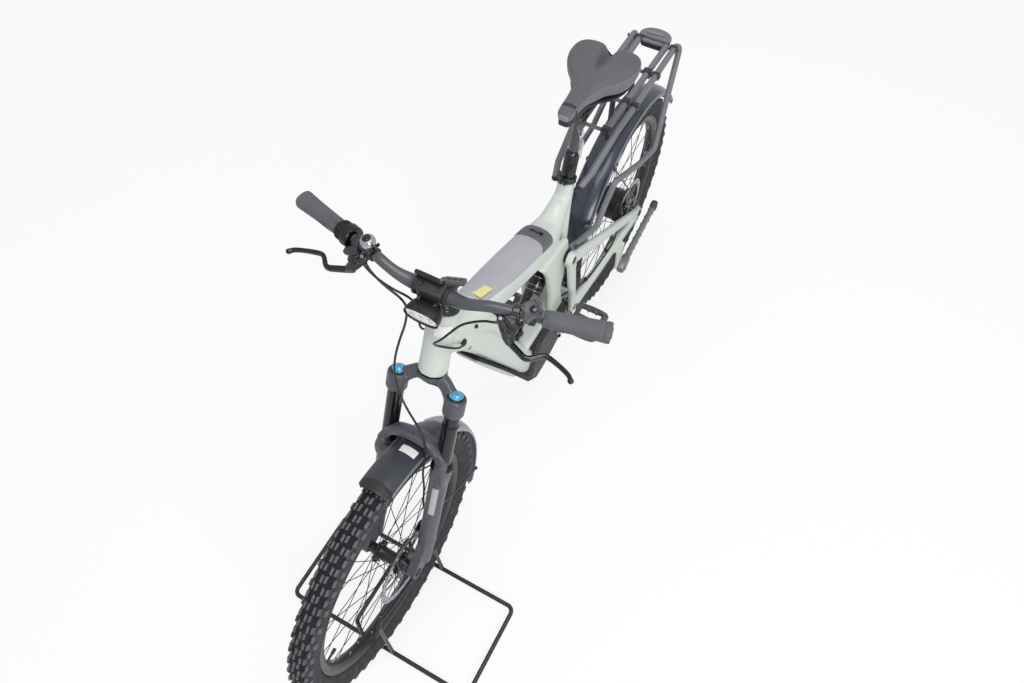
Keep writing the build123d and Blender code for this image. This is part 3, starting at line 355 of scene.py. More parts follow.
def noise(tree, scale, detail=3.0, stretch=None):
    """Noise over the piece's own coordinates, in metres; stretch scales each axis of them."""
    nodes, links = tree.nodes, tree.links
    place = nodes.new("ShaderNodeTexCoord").outputs["Object"]
    if stretch:
        mapping = nodes.new("ShaderNodeMapping")
        mapping.inputs["Scale"].default_value = stretch
        links.new(place, mapping.inputs["Vector"])
        place = mapping.outputs["Vector"]
    texture = nodes.new("ShaderNodeTexNoise")
    texture.inputs["Scale"].default_value = scale
    texture.inputs["Detail"].default_value = detail
    links.new(place, texture.inputs["Vector"])
    return texture.outputs["Fac"]


def spread(tree, value, low, high, start=0.3, end=0.7):
    """Carry a noise value from start..end over to low..high."""
    node = tree.nodes.new("ShaderNodeMapRange")
    for socket, number in (("From Min", start), ("From Max", end), ("To Min", low), ("To Max", high)):
        node.inputs[socket].default_value = number
    tree.links.new(value, node.inputs["Value"])
    return node.outputs["Result"]


def mixed(tree, factor, a, b):
    """Mix two colours, each a fixed colour or a socket."""
    node = tree.nodes.new("ShaderNodeMix")
    node.data_type = "RGBA"
    for index, colour in ((6, a), (7, b)):
        if isinstance(colour, (tuple, list)):
            node.inputs[index].default_value = colour
        else:
            tree.links.new(colour, node.inputs[index])
    tree.links.new(factor, node.inputs[0])
    return node.outputs[2]


def bumped(tree, height, strength, distance, below=None):
    node = tree.nodes.new("ShaderNodeBump")
    node.inputs["Strength"].default_value = strength
    node.inputs["Distance"].default_value = distance
    tree.links.new(height, node.inputs["Height"])
    if below:
        tree.links.new(below, node.inputs["Normal"])
    return node.outputs["Normal"]


MICROMETRES = 1e6  # in a metre
DUST = (150, 148, 145)
LOOKS = {}


def look(name, slot, colour, rough, cloud, grain, metal=0.0, coat=0.0, coat_rough=0.06, specular=0.5,
         cloud_scale=9.0, smudge=0.05, dust=0.0, ripple=None, sheen=0.0, stretch=None):
    """A finish: colour that drifts softly, roughness that is handled or dusty in places, and a fine grain.

    cloud is how far the colour drifts, grain the (scale, depth in micrometres) of a fine relief and ripple
    the same of a larger one; dust lightens the surface in patches."""
    material = bpy.data.materials.new(name)
    material.use_nodes = True
    tree = material.node_tree
    shader = tree.nodes["Principled BSDF"]
    base = linear(colour)
    drift = noise(tree, cloud_scale, 4)
    tint = mixed(tree, spread(tree, drift, 0, 1), shaded(base, 1 - cloud), shaded(base, 1 + cloud))
    if dust:
        specks = noise(tree, 60, 8)
        tint = mixed(tree, spread(tree, specks, 0, dust, 0.5, 0.75), tint, linear(DUST))
    tree.links.new(tint, shader.inputs["Base Color"])
    worn = noise(tree, 34, 5)
    tree.links.new(spread(tree, worn, max(rough - smudge, 0.02), min(rough + smudge, 1)),
        shader.inputs["Roughness"])
    normal = None
    if ripple:
        normal = bumped(tree, noise(tree, ripple[0], 4), 1, ripple[1] / MICROMETRES)
    if grain[1]:
        normal = bumped(tree, noise(tree, grain[0], 3, stretch), 1, grain[1] / MICROMETRES, normal)
    if normal:
        tree.links.new(normal, shader.inputs["Normal"])
    shader.inputs["Metallic"].default_value = metal
    shader.inputs["Specular IOR Level"].default_value = specular
    shader.inputs["Coat Weight"].default_value = coat
    shader.inputs["Coat Roughness"].default_value = coat_rough
    if sheen:
        shader.inputs["Sheen Weight"].default_value = sheen
        shader.inputs["Sheen Roughness"].default_value = 0.45
    LOOKS[name] = (material, slot)
    return material


def dress(piece, name):
    """Give a piece its finish."""
    material, slot = LOOKS[name]
    piece.data.materials.clear()
    piece.data.materials.append(material)


# name, slot in the record, colour, roughness, drift of the colour, grain
look("sage_paint", "frame_paint", (206, 212, 204), 0.42, 0.025, (1500, 20), coat=0.25, coat_rough=0.22,
    cloud_scale=4, smudge=0.06)
look("cover_grey", "cover_plastic", (172, 172, 178), 0.38, 0.05, (2200, 40), cloud_scale=5)
look("cover_dark", "cover_plastic", (92, 92, 97), 0.45, 0.08, (2200, 50))
look("belly_clear", "belly_plastic", (182, 183, 186), 0.22, 0.05, (1400, 20), coat=0.6)
look("motor_black", "motor_black", (44, 44, 47), 0.5, 0.15, (1300, 120), dust=0.05)
look("gloss_black", "gloss_black", (7, 7, 9), 0.12, 0.2, (300, 10), coat=0.35, smudge=0.04)
look("black_metal", "black_metal", (34, 34, 37), 0.34, 0.15, (1600, 30), specular=0.6, coat=0.2,
    coat_rough=0.3)
look("black_plastic", "black_plastic", (40, 40, 43), 0.5, 0.12, (1800, 90))
look("gloss_plastic", "gloss_plastic", (14, 14, 16), 0.2, 0.15, (400, 10), coat=0.5, coat_rough=0.08)
look("grey_plastic", "black_plastic", (70, 70, 75), 0.42, 0.08, (2000, 60))
look("lever_black", "lever_metal", (40, 40, 43), 0.3, 0.12, (1700, 20), coat=0.35, coat_rough=0.2)
look("fork_blue_grey", "fork_metal", (76, 77, 85), 0.4, 0.06, (1700, 40), coat=0.35, coat_rough=0.25,
    cloud_scale=6)
look("fork_seal", "fork_metal", (13, 13, 14), 0.5, 0.1, (1500, 60))
look("anodised_blue", "blue_anodised", (110, 196, 240), 0.26, 0.08, (1500, 20), metal=0.6)
look("bar_black", "bar_metal", (76, 76, 80), 0.36, 0.12, (1400, 20), coat=0.3, coat_rough=0.25)
look("grip_rubber", "grip_rubber", (92, 92, 97), 0.74, 0.1, (1500, 180), specular=0.3, sheen=0.15)
look("bell_steel", "bell_metal", (196, 196, 200), 0.14, 0.04, (900, 10), metal=1)
look("lamp_black", "lamp_plastic", (36, 36, 39), 0.42, 0.12, (1800, 80))
look("rack_grey", "rack_metal", (116, 117, 123), 0.42, 0.08, (1900, 60), coat=0.1, coat_rough=0.4)
look("guard_navy", "mudguard", (62, 65, 78), 0.3, 0.08, (900, 20), metal=0.25, coat=0.5, coat_rough=0.14,
    cloud_scale=5)
look("guard_satin", "mudguard", (56, 58, 66), 0.34, 0.1, (1500, 40), coat=0.25, coat_rough=0.3)
look("hose_black", "rubber_black", (16, 16, 18), 0.34, 0.1, (1200, 30), coat=0.2, coat_rough=0.25)
look("rubber", "rubber_black", (24, 24, 25), 0.72, 0.12, (1400, 120), specular=0.35, dust=0.06)
look("tyre", "tyre_rubber", (60, 60, 63), 0.82, 0.1, (1100, 220), specular=0.35, cloud_scale=14, dust=0.16,
    smudge=0.08)
# lighter copy of the tyre rubber for the knobs: painted light on their tops, with real dust in patches
look("tread", "tyre_rubber", (94, 94, 98), 0.78, 0.12, (1100, 220), specular=0.4, cloud_scale=14, dust=0.12,
    smudge=0.08)
# darker copy of the tyre rubber: painted shade in the gaps between the knobs
look("tread_gap_painted_shade", "tyre_rubber", (38, 38, 41), 0.9, 0.1, (1100, 200), specular=0.2)
# pale lavender copy of the mudguard's finish: painted reflection of the bright sky on the guard
look("guard_painted_reflection", "mudguard", (148, 150, 164), 0.32, 0.06, (900, 20), coat=0.35, coat_rough=0.2,
    cloud_scale=5)
look("guard_edge", "mudguard", (120, 121, 127), 0.4, 0.06, (900, 30), coat=0.2, coat_rough=0.3)
# lighter copy of saddle_skin for the faces that turn sideways: painted light on the saddle's skirt
look("saddle_side_painted_light", "saddle_cover", (110, 110, 115), 0.62, 0.07, (1250, 220), specular=0.4, cloud_scale=12,
    ripple=(420, 120), sheen=0.12)
look("rim_black", "black_metal", (32, 32, 34), 0.36, 0.12, (1700, 30), coat=0.25, coat_rough=0.25)
look("stand_black", "stand_metal", (34, 34, 37), 0.38, 0.1, (1300, 50), coat=0.2, coat_rough=0.25)
look("crank_black", "crank_metal", (44, 44, 47), 0.32, 0.12, (1600, 30), coat=0.3, coat_rough=0.2)
look("pedal_grey", "black_plastic", (70, 71, 75), 0.5, 0.1, (1500, 150), dust=0.1)
look("brushed_steel", "rotor_steel", (178, 180, 186), 0.3, 0.05, (1300, 30), metal=1, stretch=(1, 8, 1))
look("sticker", "cover_plastic", (236, 236, 232), 0.35, 0.02, (800, 10))
look("sticker_yellow", "cover_plastic", (232, 222, 150), 0.38, 0.03, (800, 10))
look("lens_white", "lamp_plastic", (250, 250, 252), 0.1, 0.02, (500, 10), coat=1.0, coat_rough=0.03)
look("screen", "gloss_plastic", (20, 21, 25), 0.08, 0.1, (200, 0), coat=1.0, coat_rough=0.03)
look("saddle_skin", "saddle_cover", (92, 92, 96), 0.6, 0.07, (1250, 220), specular=0.4, cloud_scale=12,
    ripple=(420, 120), sheen=0.12)
look("saddle_trim", "saddle_cover", (136, 136, 141), 0.5, 0.06, (1300, 80))
look("saddle_dark", "saddle_cover", (50, 50, 53), 0.6, 0.08, (1300, 100))
look("foot_tan", "rubber_black", (136, 112, 88), 0.7, 0.1, (900, 200))
look("silver_screw", "rotor_steel", (172, 174, 178), 0.25, 0.05, (1500, 20), metal=1)


# ---- Main frame ----
def side_on(points):
    """Side-view outline in millimetres as (x, z) pairs in metres."""
    return [(x / 1000, z / 1000) for x, z in points]


def tube_section(x, z, run, width, height, power=3.6):
    """Rounded-box section of a tube that runs along a side-view direction, in millimetres."""
    run = unit((run[0], 0, run[1]))
    return ring((x / 1000, 0, z / 1000), Y, run.cross(Y), width / 2000, height / 2000, power, 40)


def web(outline, half, centre_y=0.0):
    """Plate in the side view, as thick as 2 x half, round a plane at centre_y."""
    return prism(side_on(outline), (0, centre_y + half, 0), X, Z, 2 * half)


TOP_DIRECTION = (-940, -340)
DOWN_DIRECTION = (-263, -473)
solids = [
    turned(steer(HEAD_BOTTOM_S), STEER_UP, [
        (0, HEAD_R), (0.078, HEAD_R - 0.0015), (HEAD_TOP_S - HEAD_BOTTOM_S, HEAD_R)]),
    loft([
        tube_section(318, 902, TOP_DIRECTION, 64, 70),
        tube_section(230, 869, TOP_DIRECTION, 84, 70),
        tube_section(60, 802, TOP_DIRECTION, 84, 80),
        tube_section(-100, 742, TOP_DIRECTION, 84, 86),
        tube_section(-150, 733, (-1, -0.15), 74, 82),
    ]),
    loft([
        tube_section(338, 892, (-0.75, -0.6), 58, 42),
        tube_section(283, 848, (-0.55, -0.7), 80, 62),
        tube_section(218, 750, DOWN_DIRECTION, 90, 72),
        tube_section(50, 438, DOWN_DIRECTION, 90, 76),
        tube_section(0, 351, DOWN_DIRECTION, 96, 80),
    ]),
    loft([
        tube_section(-118, 737, (-1, -0.15), 80, 80, 3.0),
        tube_section(-150, 735, (-1, 0.05), 74, 80, 2.8),
        tube_section(-184, 748, (-0.9, 0.4), 62, 70, 2.5),
        tube_section(-220, 776, (-0.6, 0.8), 48, 54, 2.3),
        ring(seat(-0.02), Y, SEAT_FWD, 0.0218, 0.0232, 2.1, 40),
        ring(seat(0), Y, SEAT_FWD, 0.0212, 0.0212, 2, 40),
    ]),
    loft([ring(seat(-d), Y, SEAT_FWD, a, b, power, 40) for d, a, b, power in (
        (0, 0.0212, 0.0212, 2), (0.07, 0.024, 0.0235, 2.1), (0.13, 0.0285, 0.0255, 2.4),
        (0.2, 0.0335, 0.028, 2.8))]),
    web([(300, 872), (170, 812), (112, 752), (140, 700), (170, 690), (260, 790)], 0.036),
    web([(60, 452), (10, 470), (-110, 458), (-196, 452), (-232, 400), (-224, 388), (-180, 440), (30, 440)],
        0.043),
]
for side in SIDES:
    solids.append(web([(-196, 640), (-184, 704), (-40, 722), (-68, 676), (-84, 640), (-104, 540),
        (-112, 436), (-178, 430), (-160, 520)], 0.009, side * 0.04))
piece("frame_shell", solids, "sage_paint", "frame", "main_frame", voxel=0.003, relax=14)


def on_top_tube(x, y, height):
    """Point over the top tube, from the side-view x of its axis: y sideways and height over the axis."""
    for (x0, z0), (x1, z1) in zip(TOP_AXIS, TOP_AXIS[1:]):
        if x >= x1 or (x1, z1) == TOP_AXIS[-1]:
            z = z0 + (z1 - z0) * (x - x0) / (x1 - x0)
            return vec(x, 0, z) / 1000 + Y * y + TOP_UP * height


def saddle_back(profile, stations):
    """Shell laid over the top tube: profile lists (y, height over the cover's foot), in millimetres."""
    return loft([[on_top_tube(x, y * grow / 1000, (h + lift) / 1000) for y, h in profile]
        for x, grow, lift in stations])


TOP_AXIS = [(318, 902), (230, 869), (60, 802), (-100, 742), (-150, 733)]
TOP_UP = unit((-0.34, 0, 0.94))
TOP_BACK = unit((-0.94, 0, -0.34))
COVER = mirrored([(-40, -22), (-41.5, -14), (-39.5, -5), (-33, 3.5), (-22, 8.6), (-11, 10.6),
    (0, 11.2)]) + [(20, -26), (-20, -26)]
piece("battery_cover", saddle_back(COVER, [(243, 0.79, 23), (233, 0.83, 30.5), (214, 0.87, 33.0),
    (120, 0.95, 37.4), (60, 0.985, 39.6), (0, 1.0, 40.6), (-40, 1.0, 41.5)]), "cover_grey", "frame",
    "upper_battery_cover", bevel=0.0022, segments=3, sharp=24)
COLLAR = mirrored([(-41, -24), (-42.6, -14), (-40.5, -4), (-33.5, 5), (-22, 10.4), (-11, 12.4),
    (0, 13)]) + [(20, -30), (-20, -30)]
piece("battery_collar", saddle_back(COLLAR, [(-41, 0.99, 41), (-44, 1.0, 41.9), (-80, 0.995, 42.5),
    (-92, 0.975, 40.5), (-101, 0.93, 34)]), "cover_dark", "frame", "battery_latch", bevel=0.0022,
    segments=3, sharp=24)
piece("latch_slot", [block(on_top_tube(-66, 0.01, 0.0554), TOP_BACK, Y, TOP_UP, (10, 26, 3)),
    lathe(on_top_tube(-66, -0.008, 0.0548), TOP_UP, [(0, 6.2), (2.2, 5.8)])], "gloss_black", "frame",
    bevel=0.0012)


def sheet_patch(name, centre, u, v, size, thick, finish_name, body, lift):
    """Thin label laid on a curved surface: lift gives its height over the flat for (a, b) in metres."""
    n = unit(u.cross(v))
    steps = 8
    half_u, half_v = size[0] / 2, size[1] / 2
    rows = []
    for i in range(steps + 1):
        a = -half_u + 2 * half_u * i / steps
        rows.append([(a, -half_v + 2 * half_v * j / steps) for j in range(steps + 1)])
    points, faces = [], []
    for height in (0, thick):
        for row in rows:
            points += [centre + u * a + v * b + n * (lift(a, b) + height) for a, b in row]
    side_count = steps + 1
    top = side_count * side_count
    for i in range(steps):
        for j in range(steps):
            k = i * side_count + j
            faces.append([k, k + side_count, k + side_count + 1, k + 1])
            faces.append([top + k, top + k + 1, top + k + side_count + 1, top + k + side_count])
    rim = ([i * side_count for i in range(side_count)] + [steps * side_count + j
        for j in range(1, side_count)] + [i * side_count + steps
        for i in range(steps - 1, -1, -1)] + list(range(steps - 1, 0, -1)))
    for a, b in zip(rim, rim[1:] + rim[:1]):
        faces.append([a, b, top + b, top + a])
    return piece(name, (points, faces), finish_name, body, sharp=60)


LABEL_RUN = unit(TOP_BACK * 0.97 + Y * 0.12)
sheet_patch("yellow_label", on_top_tube(206, 0.009, 0.0447), LABEL_RUN, TOP_UP.cross(LABEL_RUN),
    (0.044, 0.036), 0.0004, "sticker_yellow", "frame", lambda a, b: -0.003 * ((b + 0.009) / 0.024) ** 2)
HEAD_SIDE = unit(STEER_FWD * 0.8 + Y * 0.6)
sheet_patch("head_label", steer(0.676) + HEAD_SIDE * (HEAD_R + 0.0001), STEER_UP,
    STEER_UP.cross(HEAD_SIDE) * -1, (0.026, 0.034), 0.0004, "sticker", "frame",
    lambda a, b: -(b * b) / (2 * HEAD_R))

# cover along the down tube's belly, with its dark gasket
DOWN_FRONT = unit((0.473, 0, -0.263))
BELLY = [(256, 728), (60, 361)]
piece("belly_gasket", loft([ring((x / 1000 - 0.001, 0, z / 1000), Y, DOWN_FRONT, w, 0.005, 6, 32)
    for (x, z), w in zip(BELLY, (0.035, 0.0372))]), "rubber", "frame", bevel=0.001)
piece("belly_cover", loft([ring(vec(x / 1000, 0, z / 1000) + DOWN_FRONT * 0.005, Y, DOWN_FRONT, w, h, 5, 32)
    for (x, z), w, h in (((250, 717), 0.022, 0.002), ((248, 713), 0.0325, 0.006),
    ((200, 623), 0.0352, 0.008), ((110, 455), 0.0362, 0.008), ((70, 380), 0.0355, 0.0065),
    ((64, 369), 0.028, 0.002))]), "belly_clear", "frame", "lower_battery_cover", subdivide=1)


SCREW_HEIGHT = 0.0025


def screw_head(name, place, axis, radius, finish_name):
    """Low button head with a socket, standing on a surface of the frame."""
    profile = [(-0.001, radius)] + [(SCREW_HEIGHT * a, radius * r) for a, r in (
        (0.3, 1), (0.8, 0.88), (1, 0.62), (1, 0.45), (0.4, 0.42))] + [(SCREW_HEIGHT * 0.4, 0.0001)]
    return piece(name, turned(place, axis, profile, 24), finish_name, "frame", sharp=40)


for side in SIDES:
    grommet_place = vec(0.3085, side * 0.0312, 0.869)
    out = unit((0.45, side, 0.15))
    piece(f"cable_grommet_{side}", lathe(grommet_place - out * 0.004, out, [
        (0, 12), (5.5, 11.8), (8.5, 9.5), (9.5, 6.5), (9.5, 3)], 28), "rubber", "frame")
    screw_head(f"port_screw_{side}", vec(0.292, side * 0.0385, 0.832), unit((0.3, side, 0.1)), 0.0048,
        "silver_screw")
    screw_head(f"side_screw_{side}", vec(0.262, side * 0.04, 0.876), unit((0.15, side, 0.25)), 0.005,
        "gloss_black")

# drive unit: cover rings round the crank bore, bolts, and ribs across its lower front face
solids = []
for side in SIDES:
    face_y = 0.06 if side == 1 else -0.04
    solids.append(lathe(BB + Y * (face_y - side * 0.002), Y * side,
        [(0, 46), (4, 46), (6, 44), (6, 37.5), (9, 36.5), (10.5, 34), (10.5, 27)], 48))
    for angle in (28, 96, 160, 215, 290):
        bolt = BB + heading(angle) * 0.056 + Y * (face_y - side * 0.002)
        if bolt.z > 0.3 and bolt.x < 0:
            solids.append(lathe(bolt, Y * side, [(0, 6.2), (6, 6), (7.2, 5), (7.2, 2.8), (4, 2.7),
                (4, 0.1)], 20))
piece("motor_trim", solids, "gloss_black", "frame", bevel=0.0004)
ribs = []
for k in range(9):
    rib_x = 0.026 - 0.0075 * k
    ribs.append(prism(side_on([(0, 0), (2.6, 0), (2.6, 9 + 0.2 * k), (0, 9 + 0.2 * k)]),
        (rib_x, -0.04, 0.318 - 0.0064 * k), unit((1, 0, 0.25)), unit((0.55, 0, -0.84)), 0.08))
piece("motor_ribs", ribs, "motor_black", "frame", bevel=0.0007)

# ---- Damper ----
DAMPER_EYE = [(0, 12.5), (1, 13.5), (31, 13.5), (32, 12.5)]
damper_axis = unit(SHOCK_FRONT - SHOCK_REAR)
damper_up = damper_axis.cross(Y) * -1
link_run = unit(SHOCK_REAR - SHOCK_LINK)
piece("damper_can", [
    lathe(SHOCK_REAR, damper_axis, [
        (10, 12), (17, 18.5), (20, 21.2), (52, 21.8), (52.5, 20.6), (57, 20.6),
        (57.5, 22), (104, 22.2), (107, 20.5), (108, 24), (121, 24), (124, 21.5),
        (125, 12)], 48),
    lathe(SHOCK_REAR - Y * 0.016, Y, DAMPER_EYE),
    lathe(SHOCK_FRONT - Y * 0.016, Y, DAMPER_EYE),
    lathe(SHOCK_FRONT, -damper_axis, [(10, 11), (16, 14.5), (28, 14.5), (32, 9.5)]),
    lathe(SHOCK_REAR + damper_axis * 0.02 + damper_up * 0.0165 + Y * 0.0125, damper_axis, [
        (0, 6), (2, 8.2), (74, 8.2), (77, 6)], 24),
], "gloss_black", "frame", "shock_absorber", bevel=0.0006)
piece("damper_shaft", rod(SHOCK_REAR + damper_axis * 0.122, SHOCK_FRONT - damper_axis * 0.024, 0.0062),
      "brushed_steel", "frame")
piece("damper_bands", [lathe(SHOCK_REAR + damper_axis * along, damper_axis, [(0, 22.1), (1.4, 22.1)], 48)
    for along in (0.0242, 0.048, 0.062, 0.099)], "silver_screw", "frame")
piece("damper_bolts", [lathe(end - Y * 0.0205, Y, [(0, 6), (1, 7.5), (40, 7.5), (41, 6)], 24)
    for end in (SHOCK_LINK, SHOCK_REAR, SHOCK_FRONT)], "black_metal", "frame")
solids = [lathe(SHOCK_LINK - Y * 0.016, Y, DAMPER_EYE)]
link_up = link_run.cross(Y) * -1
for side in SIDES:
    solids.append(loft([ring(SHOCK_LINK.lerp(SHOCK_REAR, t) + Y * side * 0.013, Y, link_up, 0.0042, h, 3,
        28) for t, h in ((0, 0.011), (0.5, 0.0085), (1.0, 0.012), (1.09, 0.0085))]))
solids.append(block(SHOCK_LINK.lerp(SHOCK_REAR, 0.42), link_run, Y, link_up, (34, 22, 12)))
solids.append(skin(Y, Z, 3, 28, [(SHOCK_FRONT + X * 0.036 - Z * 0.014, 0.021, 0.019),
    (SHOCK_FRONT + X * 0.02 - Z * 0.008, 0.019, 0.013), (SHOCK_FRONT + X * 0.01 - Z * 0.004, 0.018, 0.01)]))
piece("damper_link", solids, "gloss_black", "frame", bevel=0.0012)

# ---- Swingarm ----
solids = []
for side in SIDES:
    low = vec(LOWER_PIVOT.x, side * ARM_Y, LOWER_PIVOT.z)
    high = vec(UPPER_PIVOT.x, side * ARM_Y, UPPER_PIVOT.z)
    drop = vec(REAR_X + 0.014, side * DROPOUT_Y, TYRE_RADIUS + 0.004)
    for start, end, deep, middle_deep, end_deep, half in ((low, drop - Z * 0.008, 0.05, 0.042, 0.034,
            0.0105), (high, drop + Z * 0.008, 0.038, 0.033, 0.028, 0.0092),
            (high, low, 0.04, 0.03, 0.04, 0.0085)):
        run = unit(end - start)
        across = unit(Y - run * run.y)
        height = run.cross(across)
        solids.append(loft([ring(start.lerp(end, t), across, height, half, d / 2, 3.2, 28)
            for t, d in ((0, deep), (0.35, (deep + middle_deep) / 2), (0.7, middle_deep), (1, end_deep))]))
    solids.append(lathe(low - Y * 0.009, Y, [(0, 23), (18, 23)]))
    solids.append(lathe(high - Y * 0.009, Y, [(0, 22), (18, 22)]))
    hub = vec(REAR_X, side * 0.0813, TYRE_RADIUS)
    solids.append(lathe(hub - Y * 0.0067, Y, [(0, 23.5), (13.4, 23.5)]))
    solids.append(crossbar(SHOCK_LINK, side * 0.021, side * ARM_Y, 0.0125))
solids.append(crossbar(vec(-0.25, 0, 0.382), -ARM_Y, ARM_Y, 0.0105))
solids.append(crossbar(UPPER_PIVOT, -ARM_Y, ARM_Y, 0.0095))
solids.append(crossbar(LOWER_PIVOT, 0.03, ARM_Y, 0.0085))
solids.append(prism(side_on([(-524, 362), (-474, 366), (-482, 268), (-518, 268)]), (0, 0.1, 0), X, Z, 0.01))
solids.append(crossbar(vec(-0.5, 0, 0.35), 0.078, 0.092, 0.011))
piece("swingarm_shell", solids, "sage_paint", "frame", "swingarm", voxel=0.0026, relax=7)
solids = []
for side in SIDES:
    for centre, radius in ((LOWER_PIVOT, 0.0125), (UPPER_PIVOT, 0.0115)):
        solids.append(turned(centre + Y * side * (ARM_Y + 0.0085), Y * side, [
            (-0.001, radius), (0.0012, radius), (0.0022, radius * 0.86), (0.0022, radius * 0.4),
            (0.0002, radius * 0.36), (0.0002, 0.0001)], 28))
    solids.append(lathe(vec(REAR_X, side * 0.0875, TYRE_RADIUS), Y * side, [
        (-1, 12.5), (3, 12), (4.5, 10), (4.5, 4.5), (2, 4.2), (2, 0.1)], 28))
piece("pivot_caps", solids, "black_metal", "frame", "rear_axle", bevel=0.0003)
solids = []
for side in SIDES:
    solids.append(loft([ring((UPPER_PIVOT.x - 0.004, side * y, UPPER_PIVOT.z), X, Z, r, r * 1.15, 2.4, 28)
        for y, r in ((0.04, 0.017), (0.046, 0.019), (0.052, 0.0165), (0.058, 0.018))]))
piece("pivot_gaiters", solids, "rubber", "frame", bevel=0.0005)


# ---- Seatpost, saddle and rack ----
piece("post_sleeve", lathe(SEAT_CLAMP, SEAT_UP, [(4, 15.6), (8, 18.4), (58, 18.4), (58.5, 17.6),
    (60.5, 17.6), (61, 18.7), (66, 18.7), (66.5, 17.6), (68.5, 17.6), (69, 18.5), (77, 18.5), (79, 16.5),
    (83.5, 15.5), (84, 12.8)], 48), "gloss_black", "frame", "seatpost", bevel=0.0003)
piece("post_mast", lathe(SEAT_CLAMP, SEAT_UP, [(80, 12.8), (176, 12.8), (180, 14.5), (186, 16)], 40),
      "bar_black", "frame")
head = seat(0.19)
solids = [block(head + Z * 0.0005, X, Y, Z, (44, 34, 8)), block(head + Z * 0.012, X, Y, Z, (40, 30, 6)),
    block(head - Z * 0.008, X, Y, Z, (30, 26, 12))]
for along in (-0.017, 0.017):
    solids.append(rod(head + X * along - Z * 0.02, head + X * along + Z * 0.02, 0.0032, 16))
    solids.append(lathe(head + X * along - Z * 0.021, Z, [(0, 5.2), (5, 5.2)], 16))
for side in SIDES:
    solids.append(tube([head + vec(-0.022, side * 0.022, 0.009), head + vec(0.022, side * 0.022, 0.009)],
        0.0062, 16))
piece("post_head", solids, "black_metal", "frame", bevel=0.0014)
solids = [lathe(SEAT_CLAMP, SEAT_UP, [(0.5, 18.8), (0.5, 22.2), (2.2, 23.8), (4.5, 22.8), (10, 22.8),
    (12.2, 23.8), (14, 22.2), (14, 18.8)], 48)]
for side in SIDES:
    solids.append(block(seat(0.007, 0.024, side * 0.0055), SEAT_FWD, Y, SEAT_UP, (14, 6.5, 12)))
solids.append(lathe(seat(0.007, 0.0255, -0.014), Y, [
    (0, 4.5), (3, 4.5), (3, 2.8), (26, 2.8), (26, 4.5), (28, 4)], 20))
piece("seat_collar", solids, "black_metal", "frame", "seat_clamp", bevel=0.0005)

# key ring and a blank tag hung from the saddle's rail
key_place = vec(-0.262, 0.023, 1.004)
piece("key_ring", tube(arc(key_place - Z * 0.011, unit((0.5, 1, 0)), Z, 0.011, 0, 360, 28), 0.0008, 8),
      "silver_screw", "frame")
piece("keys", [prism([(-0.009, -0.012), (0.009, -0.012), (0.011, 0), (0.007, 0.01), (-0.007, 0.01),
    (-0.011, 0)], key_place - Z * 0.034, unit((0.8, 0.6, 0)), Z, 0.0024),
    prism([(-0.0035, -0.04), (0.0035, -0.036), (0.0035, -0.01), (-0.0035, -0.01)], key_place - Z * 0.034,
    unit((0.8, 0.6, 0)), Z, 0.0018)], "silver_screw", "frame", bevel=0.0005)
piece("blank_tag", prism([(-0.008, -0.066), (0.006, -0.072), (0.012, -0.02), (0.002, -0.012),
    (-0.004, -0.014)], key_place + vec(-0.003, 0.004, -0.02), unit((0.6, 0.8, 0)), unit((-0.08, 0, 1)),
    0.0006), "sticker", "frame")


# along the saddle, in millimetres: x, half width, height of the crown, height of the skirt's lower edge
SADDLE_STATIONS = [[v / 1000 for v in station] for station in ((-207.5, 7, 1064, 1054),
    (-209, 13, 1069.5, 1050), (-215.5, 16.8, 1073.5, 1047), (-235, 19, 1075, 1044),
    (-262, 20.5, 1075, 1040), (-288, 23.5, 1074.8, 1035), (-312, 30.5, 1075.5, 1029),
    (-335, 43.5, 1077.5, 1023), (-357, 61.5, 1080, 1018.5), (-382, 77, 1082.5, 1016.5),
    (-406, 85, 1084.5, 1016.5), (-430, 86.5, 1085, 1018), (-450, 83, 1083.8, 1021.5),
    (-466, 73.5, 1079.5, 1028), (-474.5, 59, 1072.5, 1037), (-479, 42, 1064, 1045))]


def bump(value, width):
    """Bell-shaped bump, 1 at its centre."""
    d = value / width
    return 1 / (1 + d * d * d * d + d * d)


CHANNEL_START = 0.348  # how far behind the origin the channel sets in
CHANNEL_DEPTH = 0.027


def saddle_pad():
    """Crowned pad: two rear lobes with a sunk channel between them, over a skirt that pulls in below."""
    path = smooth_path([(x, half, crown) for x, half, crown, foot in SADDLE_STATIONS], 4)
    feet = smooth_path([(x, half, foot) for x, half, crown, foot in SADDLE_STATIONS], 4)
    columns = 112
    rings = []
    for (x, half, crown), (_, _, foot) in zip(path, feet):
        back = min(max((-x - CHANNEL_START) / 0.075, 0), 1)
        tuck = 0.1 + 0.34 * bump(x + 0.35, 0.022)
        back = back * back * (3 - 2 * back)
        shoulder = foot + (crown - foot) * 0.66
        section = []
        for k in range(columns):
            angle = 2 * pi * k / columns
            c, s = cos(angle), sin(angle)
            y = half * c
            swell = max(1 - abs(c) ** 3.64, 0)
            if s >= 0:
                z = shoulder + (crown - shoulder) * swell ** 0.34
                z -= CHANNEL_DEPTH * back * bump(y, 0.005 + 0.009 * back) * swell
            else:
                y *= 1 - tuck * swell ** 0.4
                z = shoulder - (shoulder - foot) * swell ** 0.225
            section.append(vec(x, y, z))
        rings.append(section)
    return loft(rings)


def notch_back(made):
    """Draw the middle of the rear edge forward, so that it ends in two round lobes."""
    for vertex in made.data.vertices:
        x, y, z = vertex.co
        rear = min(max((-x - 0.415) / 0.064, 0), 1)
        vertex.co.x += 0.01 * rear * rear * bump(y, 0.015)


saddle_skin = piece("saddle_pad", saddle_pad(), "saddle_skin", "frame", "saddle", subdivide=1, sharp=180)
notch_back(saddle_skin)
# faces that turn sideways (normal z under 0.42) take the lighter side look: painted light on the skirt,
# apart from the darker top
saddle_skin.data.materials.append(LOOKS["saddle_side_painted_light"][0])
for face in saddle_skin.data.polygons:
    face.material_index = 1 if face.normal.z < 0.42 else 0


